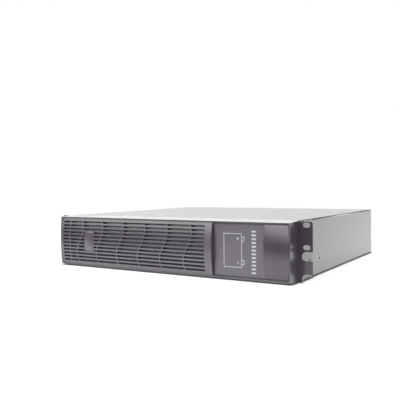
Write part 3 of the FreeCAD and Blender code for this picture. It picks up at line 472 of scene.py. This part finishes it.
CHASSIS_PAINT = Finish(
    "satin_black_powder_coat", (66, 61, 69), 0.17, ior=2.03, coat=0.85, tint=(252, 247, 255),
    texture=Effect.PEEL, texture_scale=750.0, texture_depth=0.008, smudge_spread=0.04, wear_share=0.2)
# Same satin black paint as the case; this copy's lighter base colour is painted light on the top
LID_PAINT_PAINTED_LIGHTER = Finish(
    "satin_black_lid_painted_lighter", (76, 71, 79), 0.17, ior=1.47,
    texture=Effect.PEEL, texture_scale=750.0, texture_depth=0.006, smudge_spread=0.04, wear_share=0.2)
# Same satin black paint as the case; this copy's lighter base colour is painted light on the ears
EAR_PAINT_PAINTED_LIGHTER = Finish(
    "satin_black_ear_painted_lighter", (84, 76, 86), 0.24, coat=0.85,
    texture=Effect.PEEL, texture_scale=750.0, texture_depth=0.006, smudge_spread=0.04, wear_share=0.3)
BEZEL_PLASTIC = Finish(
    "grey_moulded_plastic", (112, 106, 115), 0.31, ior=1.95, coat=0.25,
    texture_depth=0.004, smudge_spread=0.04, wear_share=0.1, wear_radius=0.8)
BADGE_PLASTIC = Finish("badge_moulded_plastic", (110, 104, 113), 0.26, ior=2.1, texture_depth=0.006)
INSERT_PLASTIC = Finish(
    "insert_moulded_plastic", (123, 118, 126), 0.38, ior=1.85, texture_depth=0.015, wear_share=0.12)
TRIM_GLOSS = Finish(
    "end_gloss_plastic", (54, 50, 56), 0.32, ior=2.15, tint=(255, 246, 255),
    texture_depth=0.003, tone_spread=0.04, smudge_spread=0.02, wear_share=0.1)
FASTENER_STEEL = Finish(
    "blackened_screw_steel", (92, 90, 94), 0.34, metallic=0.9,
    texture=Effect.BRUSH, texture_scale=2500.0, texture_depth=0.004)
PLATED_STEEL = Finish(
    "zinc_plated_steel", (190, 190, 186), 0.3, metallic=1.0,
    texture=Effect.BRUSH, texture_scale=2200.0, texture_depth=0.006)
BRACKET_STEEL = Finish(
    "galvanised_steel", (176, 178, 180), 0.42, metallic=1.0,
    texture=Effect.BRUSH, texture_scale=600.0, texture_depth=0.01, tone_spread=0.15)
BLOCK_CASE = Finish("battery_case_plastic", (46, 47, 50), 0.5, texture_scale=900.0, texture_depth=0.03)
TAB_BRASS = Finish(
    "tinned_brass", (206, 186, 134), 0.3, metallic=1.0,
    texture=Effect.BRUSH, texture_scale=1800.0, texture_depth=0.006)
LINK_SLEEVE = Finish("link_sleeve_rubber", (34, 34, 36), 0.55)
FOAM_PAD = Finish(
    "closed_cell_foam", (52, 52, 54), 0.85, texture_scale=1100.0, texture_depth=0.25, tone_spread=0.2)
FUSE_BODY = Finish("fuse_moulding", (62, 58, 54), 0.45)
RED_SLEEVE = Finish("red_lead_sleeve", (168, 32, 28), 0.42, texture_depth=0.006)
BLACK_SLEEVE = Finish("black_lead_sleeve", (30, 30, 32), 0.42, texture_depth=0.006)
SOCKET_SHELL = Finish("connector_moulding", (78, 79, 84), 0.46)
PRINT_INK = Finish(
    "white_screen_print", (238, 237, 240), 0.5, texture_scale=3000.0, texture_depth=0.004, dust_share=0.0)
# Pip plastic: a real dome whose light grey is partly a painted highlight for a faint glint on the strip
PIP_PLASTIC_AND_HIGHLIGHT = Finish(
    "pip_plastic_painted_highlight", (150, 148, 153), 0.25, coat=0.4, coat_roughness=0.1, texture_depth=0.002)


class Workshop:
    """Makes finishes once, dresses solids with them and adds pieces to the pack."""

    ROUND_ANGLE = math.radians(32)
    ROUND_STEPS = 2
    WELD_REACH = 1e-5

    def __init__(self) -> None:
        """Start with no finish made."""
        self.effects = EffectLibrary()
        self.made: dict[str, bpy.types.Material] = {}

    def material(self, finish: Finish) -> bpy.types.Material:
        """Return the material of a finish, made at its first use.

        Args:
            finish: Which finish.

        Returns:
            Its material.
        """
        if finish.name not in self.made:
            self.made[finish.name] = finish.build(self.effects)
        return self.made[finish.name]

    def dress(self, node: str, finish: Finish, edge: float = 0.0) -> bpy.types.Object:
        """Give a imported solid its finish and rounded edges.

        Args:
            node: Name of the solid.
            finish: Its finish.
            edge: Radius of its edges in millimetres, or 0 for none.

        Returns:
            The solid's object.
        """
        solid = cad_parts[node]
        solid.data.materials.clear()
        solid.data.materials.append(self.material(finish))
        if edge:
            self.round_edges(solid, edge)
        LOG.info("%s: %s", node, finish.name)
        return solid

    def round_edges(self, piece: bpy.types.Object, edge: float) -> None:
        """Join the corners of a mesh and round its sharp edges.

        Args:
            piece: Object to round.
            edge: Radius in millimetres.
        """
        weld = piece.modifiers.new("joined_corners", "WELD")
        weld.merge_threshold = self.WELD_REACH
        bevel = piece.modifiers.new("rounded_edges", "BEVEL")
        bevel.width = edge * MM
        bevel.segments = self.ROUND_STEPS
        bevel.limit_method = "ANGLE"
        bevel.angle_limit = self.ROUND_ANGLE
        bevel.use_clamp_overlap = True
        bevel.harden_normals = False

    def add(self, name: str, mesh: bmesh.types.BMesh, finish: Finish, slot: Slot | None = None,
            smooth: bool = False) -> bpy.types.Object:
        """Turn a mesh under construction into a piece of the pack.

        Args:
            name: Name of the piece.
            mesh: Its mesh, in metres in the pack's frame.
            finish: Its finish.
            slot: Not used.
            smooth: Whether its faces are shaded as one curve.

        Returns:
            The new object.
        """
        bmesh.ops.recalc_face_normals(mesh, faces=mesh.faces)
        for face in mesh.faces:
            face.smooth = smooth
        data = bpy.data.meshes.new(name)
        mesh.to_mesh(data)
        mesh.free()
        piece = bpy.data.objects.new(name, data)
        bpy.context.scene.collection.objects.link(piece)
        data.materials.append(self.material(finish))
        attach(piece, BODY)
        LOG.info("%s: %d faces", name, len(data.polygons))
        return piece


def slab(mesh: bmesh.types.BMesh, corner: Point, opposite: Point) -> None:
    """Add a block to a mesh.

    Args:
        mesh: Mesh that collects the blocks.
        corner: One corner of the block, in millimetres.
        opposite: The corner farthest from it.
    """
    middle = [(first + last) / 2 * MM for first, last in zip(corner, opposite)]
    size = [abs(last - first) * MM for first, last in zip(corner, opposite)]
    place = Matrix.Translation(middle) @ Matrix.Diagonal((*size, 1.0))
    bmesh.ops.create_cube(mesh, size=1.0, matrix=place)


def skin(mesh: bmesh.types.BMesh, rings: list[list[bmesh.types.BMVert]]) -> None:
    """Close a row of rings into a solid with flat ends.

    Args:
        mesh: Mesh that holds the rings.
        rings: Corners of each ring in order, the same number in each.
    """
    for near, far in zip(rings, rings[1:]):
        for index in range(len(near)):
            after = (index + 1) % len(near)
            mesh.faces.new((near[index], near[after], far[after], far[index]))
    mesh.faces.new(rings[0])
    mesh.faces.new(rings[-1])


def solid_boxes(node: str) -> list[tuple[Vector, Vector]]:
    """Find the separate solids of a node.

    Args:
        node: Name of a node that holds several like solids.

    Returns:
        The lowest and highest corner of each solid, in metres.
    """
    mesh = bmesh.new()
    mesh.from_mesh(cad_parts[node].data)
    bmesh.ops.remove_doubles(mesh, verts=mesh.verts, dist=Workshop.WELD_REACH)
    waiting, boxes = set(mesh.verts), []
    while waiting:
        found, edge_of_search = set(), [waiting.pop()]
        while edge_of_search:
            vertex = edge_of_search.pop()
            found.add(vertex)
            beside = {edge.other_vert(vertex) for edge in vertex.link_edges} & waiting
            waiting -= beside
            edge_of_search.extend(beside)
        spots = [vertex.co for vertex in found]
        boxes.append((Vector(map(min, *spots)), Vector(map(max, *spots))))
    mesh.free()
    return sorted(boxes, key=lambda box: tuple(box[0]))


@dataclass
class Chassis:
    """Folded steel case: tray, lid, end panels and rack ears."""

    shop: Workshop
    sheet_edge: float = 0.35

    def build(self) -> None:
        """Dress the case and its ears."""
        # The lid's paint is a lighter copy of the case paint: painted light
        self.shop.dress("top_cover", LID_PAINT_PAINTED_LIGHTER, self.sheet_edge)
        for node in ("chassis_tray", "front_panel"):
            self.shop.dress(node, CHASSIS_PAINT, self.sheet_edge)
        self.shop.dress("rear_panel", CHASSIS_PAINT)
        # The ears' paint is a lighter copy of the case paint: painted light
        for node in ("left_rack_ear", "right_rack_ear"):
            self.shop.dress(node, EAR_PAINT_PAINTED_LIGHTER)


@dataclass
class Fasteners:
    """Screws of the ears and the lid, with their cross recesses, in millimetres."""

    shop: Workshop
    ear_cross: float = 2.1
    lid_cross: float = 1.7
    arm_width: float = 0.9
    depth: float = 1.1
    taper: float = 0.55
    head_edge: float = 0.5

    def build(self) -> None:
        """Dress the screws and sink a cross in each head."""
        screws = self.shop.dress("ear_screws", FASTENER_STEEL)
        cutter = bmesh.new()
        for low, high in solid_boxes("ear_screws"):
            side = math.copysign(1.0, low.x)
            head = Vector((high.x if side > 0 else low.x, (low.y + high.y) / 2, (low.z + high.z) / 2))
            self.cross(cutter, head, Vector((side, 0.0, 0.0)), self.ear_cross)
        self.sink(screws, cutter)
        screws = self.shop.dress("cover_screws", PLATED_STEEL)
        cutter = bmesh.new()
        for low, high in solid_boxes("cover_screws"):
            head = Vector(((low.x + high.x) / 2, high.y, (low.z + high.z) / 2))
            self.cross(cutter, head, Vector((0.0, 1.0, 0.0)), self.lid_cross)
        self.sink(screws, cutter)
        self.shop.round_edges(screws, self.head_edge)

    def cross(self, mesh: bmesh.types.BMesh, head: Vector, axis: Vector, reach: float) -> None:
        """Add the tapered cross that one recess is cut with.

        Args:
            mesh: Mesh that collects the crosses.
            head: Middle of the screw's head.
            axis: Direction that the head faces.
            reach: Length of an arm in millimetres.
        """
        half = self.arm_width / 2
        corner = [(half, reach), (half, half), (reach, half)]
        outline = []
        for quarter in range(4):
            turn = Matrix.Rotation(-quarter * math.pi / 2, 2)
            outline += [turn @ Vector(spot) for spot in corner]
        up = Vector((0.0, 0.0, 1.0))
        across = up.cross(axis).normalized()
        rings = []
        for level, share in ((self.depth, 1.0), (-self.depth, self.taper)):
            spots = [(across * spot.x + up * spot.y) * share + axis * level for spot in outline]
            rings.append([mesh.verts.new(head + spot * MM) for spot in spots])
        skin(mesh, rings)

    def sink(self, screws: bpy.types.Object, cutter: bmesh.types.BMesh) -> None:
        """Cut the crosses out of the screws.

        Args:
            screws: The screws' object.
            cutter: Mesh with every cross.
        """
        bmesh.ops.recalc_face_normals(cutter, faces=cutter.faces)
        data = bpy.data.meshes.new(f"{screws.name}_recess")
        cutter.to_mesh(data)
        cutter.free()
        tool = bpy.data.objects.new(f"{screws.name}_recess", data)
        bpy.context.scene.collection.objects.link(tool)
        tool.hide_render = True
        tool.hide_viewport = True
        cut = screws.modifiers.new("cross_recess", "BOOLEAN")
        cut.operation = "DIFFERENCE"
        cut.solver = "EXACT"
        cut.object = tool


@dataclass
class InsertPrint:
    """Printed battery sign and level bars of the square insert, in millimetres."""

    shop: Workshop
    film: float = 0.06
    line: float = 1.15
    left: float = 17.1
    drop: float = 0.75
    width: float = 30.4
    height: float = 50.4
    terminal_reach: float = 3.9
    terminal_height: float = 7.4
    terminal_offset: float = 17.2
    sign_across: float = 23.8
    sign_offset: float = 17.6
    sign_line: float = 1.4
    plus_arm: float = 2.1
    minus_arm: float = 1.9
    bars_left: float = 63.2
    bars_width: float = 7.0
    bars_height: float = 65.4
    bar_count: int = 12
    bar_share: float = 0.52
    face: float = field(init=False)
    start: float = field(init=False)
    middle: float = field(init=False)

    def build(self) -> None:
        """Lay the print on the face of the insert."""
        low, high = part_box("square_insert")
        self.face = low.y / MM
        self.start = low.x / MM
        self.middle = (low.z + high.z) / 2 / MM - self.drop
        mesh = bmesh.new()
        self.outline(mesh)
        for side in (1, -1):
            self.terminal(mesh, side)
        self.signs(mesh)
        self.bars(mesh)
        self.shop.add("insert_print", mesh, PRINT_INK)

    def strip(self, mesh: bmesh.types.BMesh, across: Span, up: Span) -> None:
        """Add one printed strip.

        Args:
            mesh: Mesh that collects the print.
            across: Its two sides, from the insert's left edge.
            up: Its two ends, from the middle of the print.
        """
        front, back = self.face - self.film, self.face + self.film / 2
        slab(mesh, (self.start + across[0], front, self.middle + up[0]),
             (self.start + across[1], back, self.middle + up[1]))

    def outline(self, mesh: bmesh.types.BMesh) -> None:
        """Add the four sides of the battery.

        Args:
            mesh: Mesh that collects the print.
        """
        right, half = self.left + self.width, self.height / 2
        for side in (-1, 1):
            self.strip(mesh, (self.left, right), (side * half, side * (half - self.line)))
        for start in (self.left, right - self.line):
            self.strip(mesh, (start, start + self.line), (self.line - half, half - self.line))

    def terminal(self, mesh: bmesh.types.BMesh, side: int) -> None:
        """Add one terminal of the battery as a three sided loop.

        Args:
            mesh: Mesh that collects the print.
            side: 1 for the upper terminal, or -1 for the lower one.
        """
        right = self.left + self.width
        centre, half = side * self.terminal_offset, self.terminal_height / 2
        tip = right + self.terminal_reach
        self.strip(mesh, (tip - self.line, tip), (centre - half, centre + half))
        inner = half - self.line
        for end in (-1, 1):
            self.strip(mesh, (right, tip - self.line), (centre + end * half, centre + end * inner))

    def signs(self, mesh: bmesh.types.BMesh) -> None:
        """Add the plus and minus, turned as the battery is.

        Args:
            mesh: Mesh that collects the print.
        """
        centre, half = self.left + self.sign_across, self.sign_line / 2
        for middle, arm in ((self.sign_offset, self.plus_arm), (-self.sign_offset, self.minus_arm)):
            self.strip(mesh, (centre - half, centre + half), (middle - arm, middle + arm))
        for end in (-1, 1):
            self.strip(mesh, (centre + end * half, centre + end * self.plus_arm),
                       (self.sign_offset - half, self.sign_offset + half))

    def bars(self, mesh: bmesh.types.BMesh) -> None:
        """Add the column of plain level bars.

        Args:
            mesh: Mesh that collects the print.
        """
        step = self.bars_height / self.bar_count
        across = (self.bars_left, self.bars_left + self.bars_width)
        for index in range(self.bar_count):
            low = -self.bars_height / 2 + index * step
            self.strip(mesh, across, (low, low + step * self.bar_share))


@dataclass
class FrontBezel:
    """Moulded bezel with its badge, square insert and glossy end, in millimetres."""

    # Collar, groove and dome of the pip, as shares of its radius and of its rise
    PIP_PROFILE = (
        (1.0, -1.0), (1.0, 0.3), (0.92, 0.5), (0.84, 0.3),
        (0.8, 0.2), (0.7, 0.55), (0.45, 0.85), (0.15, 1.0),
    )

    shop: Workshop
    plate_edge: float = 0.3
    badge_edge: float = 0.2
    pip_offset: float = 6.1
    pip_radius: float = 1.0
    pip_rise: float = 0.2
    pip_sink: float = 0.3
    pip_sides: int = 24

    def build(self) -> None:
        """Dress the front pieces, then add the print and the small pip."""
        self.shop.dress("front_bezel", BEZEL_PLASTIC)
        self.shop.dress("badge_blank", BADGE_PLASTIC, self.badge_edge)
        self.shop.dress("square_insert", INSERT_PLASTIC, self.plate_edge)
        self.shop.dress("end_trim", TRIM_GLOSS, self.plate_edge)
        InsertPrint(self.shop).build()
        self.pip()

    def pip(self) -> None:
        """Set a small light grey dome with a collar in the strip beside the insert; its light grey is partly
        a painted highlight.
        """
        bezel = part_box("front_bezel")
        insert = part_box("square_insert")
        centre = insert[0].x - self.pip_offset * MM
        level = (insert[0].z + insert[1].z) / 2
        face = bezel[0].y + self.pip_sink * MM
        mesh = bmesh.new()
        rings = []
        for reach, rise in self.PIP_PROFILE:
            radius = reach * self.pip_radius * MM
            front = face - rise * self.pip_rise * MM
            ring = []
            for side in range(self.pip_sides):
                angle = side / self.pip_sides * 2 * math.pi
                spot = (centre + radius * math.cos(angle), front, level + radius * math.sin(angle))
                ring.append(mesh.verts.new(spot))
            rings.append(ring)
        skin(mesh, rings)
        self.shop.add("light_pip", mesh, PIP_PLASTIC_AND_HIGHLIGHT, smooth=True)


@dataclass
class BatteryStack:
    """Sealed blocks with their links, packing and straps, in millimetres."""

    shop: Workshop
    blocks_in_row: int = 4
    case_edge: float = 0.8
    foam_edge: float = 0.6
    strap_edge: float = 0.3

    def build(self) -> None:
        """Dress what lies inside the case."""
        for row in ("front", "rear"):
            for column in range(1, self.blocks_in_row + 1):
                self.shop.dress(f"battery_{row}_{column}", BLOCK_CASE, self.case_edge)
            self.shop.dress(f"battery_strap_{row}", BRACKET_STEEL, self.strap_edge)
        self.shop.dress("battery_stop", BRACKET_STEEL, self.strap_edge)
        self.shop.dress("battery_tabs", TAB_BRASS)
        self.shop.dress("battery_links", LINK_SLEEVE, self.foam_edge)
        for node in ("side_foam_left", "side_foam_right", "middle_foam", "row_foam", "front_foam"):
            self.shop.dress(node, FOAM_PAD, self.foam_edge)


@dataclass
class RearBay:
    """Fuse, leads, connectors and earth stud at the back, in millimetres."""

    shop: Workshop
    shell_edge: float = 0.5
    mark_arm: float = 1.2
    mark_line: float = 0.5
    mark_rise: float = 0.25
    mark_inset: float = 2.0
    cavity_offset: float = 8.5
    rim_back: float = 2.0
    thread_pitch: float = 0.8
    thread_depth: float = 0.45
    thread_sides: int = 40
    rings_a_turn: int = 10
    thread_chamfer: float = 0.6

    def build(self) -> None:
        """Dress the bay and add the marks and the thread."""
        self.shop.dress("fuse_base", FUSE_BODY, self.shell_edge)
        self.shop.dress("fuse_link", FUSE_BODY, self.shell_edge)
        for node in ("positive_lead", "fuse_lead"):
            self.shop.dress(node, RED_SLEEVE)
        for node in ("negative_lead", "pair_lead"):
            self.shop.dress(node, BLACK_SLEEVE)
        self.shop.dress("socket_jumpers", LINK_SLEEVE)
        self.shop.dress("socket_contacts", TAB_BRASS)
        for node in ("dc_socket_1", "dc_socket_2"):
            self.shop.dress(node, SOCKET_SHELL, self.shell_edge)
        self.shop.dress("earth_stud", PLATED_STEEL)
        self.shop.dress("earth_nut", PLATED_STEEL, self.shell_edge)
        self.marks()
        self.thread()

    def marks(self) -> None:
        """Raise a plus and a minus over the cavities of each connector."""
        mesh = bmesh.new()
        half, arm = self.mark_line / 2, self.mark_arm
        for node in ("dc_socket_1", "dc_socket_2"):
            low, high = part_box(node)
            middle, level = (low.x + high.x) / 2 / MM, high.z / MM - self.mark_inset
            face = high.y / MM - self.rim_back
            root, top = face - half, face + self.mark_rise
            for side in (-1, 1):
                centre = middle + side * self.cavity_offset
                slab(mesh, (centre - arm, root, level - half), (centre + arm, top, level + half))
                if side < 0:
                    for end in (-1, 1):
                        slab(mesh, (centre - half, root, level + end * half),
                             (centre + half, top, level + end * arm))
        self.shop.add("socket_marks", mesh, SOCKET_SHELL, Slot.SOCKET)

    def thread(self) -> None:
        """Cut a screw thread on the earth stud."""
        low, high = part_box("earth_stud")
        across, level = (low.x + high.x) / 2, (low.z + high.z) / 2
        radius, length = (high.x - low.x) / 2 / MM, (high.y - low.y) / MM
        count = int(length / self.thread_pitch * self.rings_a_turn)
        mesh = bmesh.new()
        rings = []
        for step in range(count + 1):
            along = length * step / count
            back = low.y + along * MM
            limit = radius - max(0.0, self.thread_chamfer - min(along, length - along))
            ring = []
            for side in range(self.thread_sides):
                turn = side / self.thread_sides
                wave = abs((along / self.thread_pitch - turn) % 1.0 - 0.5) * 2
                reach = min(limit, radius - self.thread_depth * wave) * MM
                angle = turn * 2 * math.pi
                spot = (across + reach * math.cos(angle), back, level + reach * math.sin(angle))
                ring.append(mesh.verts.new(spot))
            rings.append(ring)
        skin(mesh, rings)
        piece = self.shop.add("earth_stud_thread", mesh, PLATED_STEEL, Slot.FASTENER, smooth=True)
        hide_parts("earth_stud")


@dataclass(frozen=True)
class Lamp:
    """One soft box: where it stands, what it faces, how large and how bright it is, in metres."""

    name: str
    place: Point
    aim: Point
    width: float
    height: float
    radiance: float

    def build(self) -> None:
        """Hang the soft box."""
        data = bpy.data.lights.new(self.name, "AREA")
        data.shape = "RECTANGLE"
        data.size, data.size_y = self.width, self.height
        data.energy = self.radiance * math.pi * self.width * self.height
        lamp = bpy.data.objects.new(self.name, data)
        bpy.context.scene.collection.objects.link(lamp)
        lamp.location = self.place
        way = Vector(self.aim) - Vector(self.place)
        lamp.rotation_euler = way.to_track_quat("-Z", "Y").to_euler()
        lamp.visible_camera = False
        LOG.info("%s: lamp", self.name)


@dataclass(frozen=True)
class Card:
    """A dark card that stands in the studio: its foot and its size, in metres."""

    name: str
    foot: Point
    width: float
    height: float


@dataclass
class Studio:
    """White sweep, cards, soft boxes and the camera, in metres."""

    camera_place: Point = (0.5039, -0.9135, 0.1365)
    camera_yaw: float = math.radians(-31.739)
    camera_pitch: float = math.radians(-1.353)
    camera_roll: float = math.radians(-0.5355)
    focal_pixels: float = 541.95
    sensor_mm: float = 36.0
    nearest: float = 0.01
    farthest: float = 50.0
    floor_reach: float = 2.0
    floor_cells: int = 8
    floor_grey: float = 0.8
    floor_glow: float = 0.78
    # Painted contact shadow: reach, samples and levels of the occlusion that dims the floor's glow at the
    # pack's foot
    painted_shadow_reach: float = 0.006
    painted_shadow_samples: int = 8
    painted_shadow_level: float = 0.0
    painted_shadow_shut: float = 0.65
    painted_shadow_open: float = 0.95
    world_level: float = 0.15
    paper_roughness: float = 0.9
    card_colour: Linear = (0.02, 0.02, 0.022, 1.0)
    cards: tuple[Card, ...] = (
        Card("front_card", foot=(0.0, -0.45, 0.0), width=1.8, height=0.086),
        Card("front_backdrop", foot=(-1.1, -3.2, 0.0), width=9.0, height=3.5),
        Card("rear_flag", foot=(-0.6, 3.2, 1.35), width=7.0, height=1.4),
    )
    lamps: tuple[Lamp, ...] = (
        Lamp("key_box", place=(-0.5, -2.3, 1.2), aim=(0.0, -0.2, 0.06), width=4.0, height=1.5, radiance=2.4),
        Lamp("top_box", place=(-0.5, 0.3, 2.0), aim=(0.0, 0.0, 0.0), width=1.8, height=1.8, radiance=0.7),
        Lamp("rear_box", place=(-0.8, 3.4, 1.0), aim=(-0.8, 0.0, 0.1), width=8.0, height=0.55, radiance=2.0),
    )

    def build(self) -> None:
        """Set up the stage, the light and the camera."""
        self.world()
        self.floor()
        for card in self.cards:
            self.card(card)
        for lamp in self.lamps:
            lamp.build()
        self.camera()
        bpy.context.scene.view_settings.view_transform = "Standard"

    @staticmethod
    def seen(graph: Graph) -> Socket:
        """Tell the rays that show the background itself from those that carry soft light.

        Args:
            graph: Nodes of a material or of the world.

        Returns:
            The socket that holds 1 for the rays that show it and 0 for the others.
        """
        path = graph.add("LightPath").outputs
        rays = graph.math("ADD", path["Is Camera Ray"], path["Is Glossy Ray"])
        return graph.math("MINIMUM", graph.math("ADD", rays, path["Is Transmission Ray"]), 1.0)

    def world(self) -> None:
        """Make the world white where it is seen and softer where it lights."""
        world = bpy.data.worlds.new("white_studio")
        bpy.context.scene.world = world
        world.use_nodes = True
        world.node_tree.nodes.clear()
        graph = Graph(world.node_tree)
        level = graph.stretch(self.seen(graph), (0.0, 1.0), (self.world_level, 1.0))
        light = graph.add("Background", {"Color": WHITE, "Strength": level})
        output = graph.add("OutputWorld")
        graph.feed(output.inputs["Surface"], light.outputs["Background"])

    def floor(self) -> None:
        """Lay the pale floor, which keeps the pack's shadow; its glow dims where they touch, a painted
        contact shadow.
        """
        material = bpy.data.materials.new("white_floor")
        material.use_nodes = True
        material.node_tree.nodes.clear()
        graph = Graph(material.node_tree)
        # Painted contact shadow: ambient occlusion dims the floor's glow beside the pack
        reach = {"Distance": self.painted_shadow_reach}
        near = graph.add("AmbientOcclusion", reach, samples=self.painted_shadow_samples).outputs["AO"]
        contact = (self.painted_shadow_shut, self.painted_shadow_open)
        level = graph.stretch(near, contact, (self.painted_shadow_level, self.floor_glow))
        shader = graph.add("BsdfPrincipled", {
            "Base Color": scaled(WHITE, self.floor_grey),
            "Roughness": self.paper_roughness,
            "Specular IOR Level": 0.0,
            "Emission Color": WHITE,
            "Emission Strength": graph.math("MULTIPLY", self.seen(graph), level),
        })
        output = graph.add("OutputMaterial")
        graph.feed(output.inputs["Surface"], shader.outputs["BSDF"])
        mesh = bmesh.new()
        cells = self.floor_cells
        bmesh.ops.create_grid(mesh, x_segments=cells, y_segments=cells, size=self.floor_reach)
        self.show("floor", mesh, material)

    def card(self, card: Card) -> None:
        """Stand a card that shows in reflections alone.

        Args:
            card: Which card.
        """
        material = bpy.data.materials.new(f"{card.name}_paper")
        material.use_nodes = True
        shader = material.node_tree.nodes["Principled BSDF"]
        shader.inputs["Base Color"].default_value = self.card_colour
        shader.inputs["Roughness"].default_value = self.paper_roughness
        foot = Vector(card.foot)
        across = Vector((-foot.y, foot.x, 0.0)).normalized() * card.width / 2
        rise = Vector((0.0, 0.0, card.height))
        spots = (foot - across, foot + across, foot + across + rise, foot - across + rise)
        mesh = bmesh.new()
        mesh.faces.new([mesh.verts.new(spot) for spot in spots])
        piece = self.show(card.name, mesh, material)
        piece.visible_camera = False
        piece.visible_diffuse = False
        piece.visible_shadow = False

    @staticmethod
    def show(name: str, mesh: bmesh.types.BMesh, material: bpy.types.Material) -> bpy.types.Object:
        """Stand a stage object in the studio.

        Args:
            name: Name of the object.
            mesh: Its mesh.
            material: Its material.

        Returns:
            The new object.
        """
        data = bpy.data.meshes.new(name)
        mesh.to_mesh(data)
        mesh.free()
        data.materials.append(material)
        piece = bpy.data.objects.new(name, data)
        bpy.context.scene.collection.objects.link(piece)
        return piece

    def camera(self) -> None:
        """Stand the camera where the photograph was taken."""
        yaw, pitch, roll = self.camera_yaw, self.camera_pitch, self.camera_roll
        reach = math.cos(pitch)
        ahead = Vector((math.sin(yaw) * reach, math.cos(yaw) * reach, math.sin(pitch)))
        level = Vector((math.cos(yaw), -math.sin(yaw), 0.0))
        upright = level.cross(ahead)
        right = level * math.cos(roll) + upright * math.sin(roll)
        up = upright * math.cos(roll) - level * math.sin(roll)
        data = bpy.data.cameras.new("photo_camera")
        data.sensor_width = self.sensor_mm
        data.lens = self.focal_pixels / PHOTO_WIDTH * self.sensor_mm
        data.clip_start, data.clip_end = self.nearest, self.farthest
        camera = bpy.data.objects.new("photo_camera", data)
        bpy.context.scene.collection.objects.link(camera)
        turn = Matrix((right, up, -ahead)).transposed().to_4x4()
        camera.matrix_world = Matrix.Translation(self.camera_place) @ turn
        bpy.context.scene.camera = camera


def main() -> None:
    """Build the pack's looks from the case outwards, then the studio."""
    logging.basicConfig(level=logging.INFO, format="%(name)s %(message)s")
    shop = Workshop()
    for assembly in (Chassis, Fasteners, FrontBezel, BatteryStack, RearBay):
        assembly(shop).build()
    Studio().build()


if __name__ == "__main__":
    main()
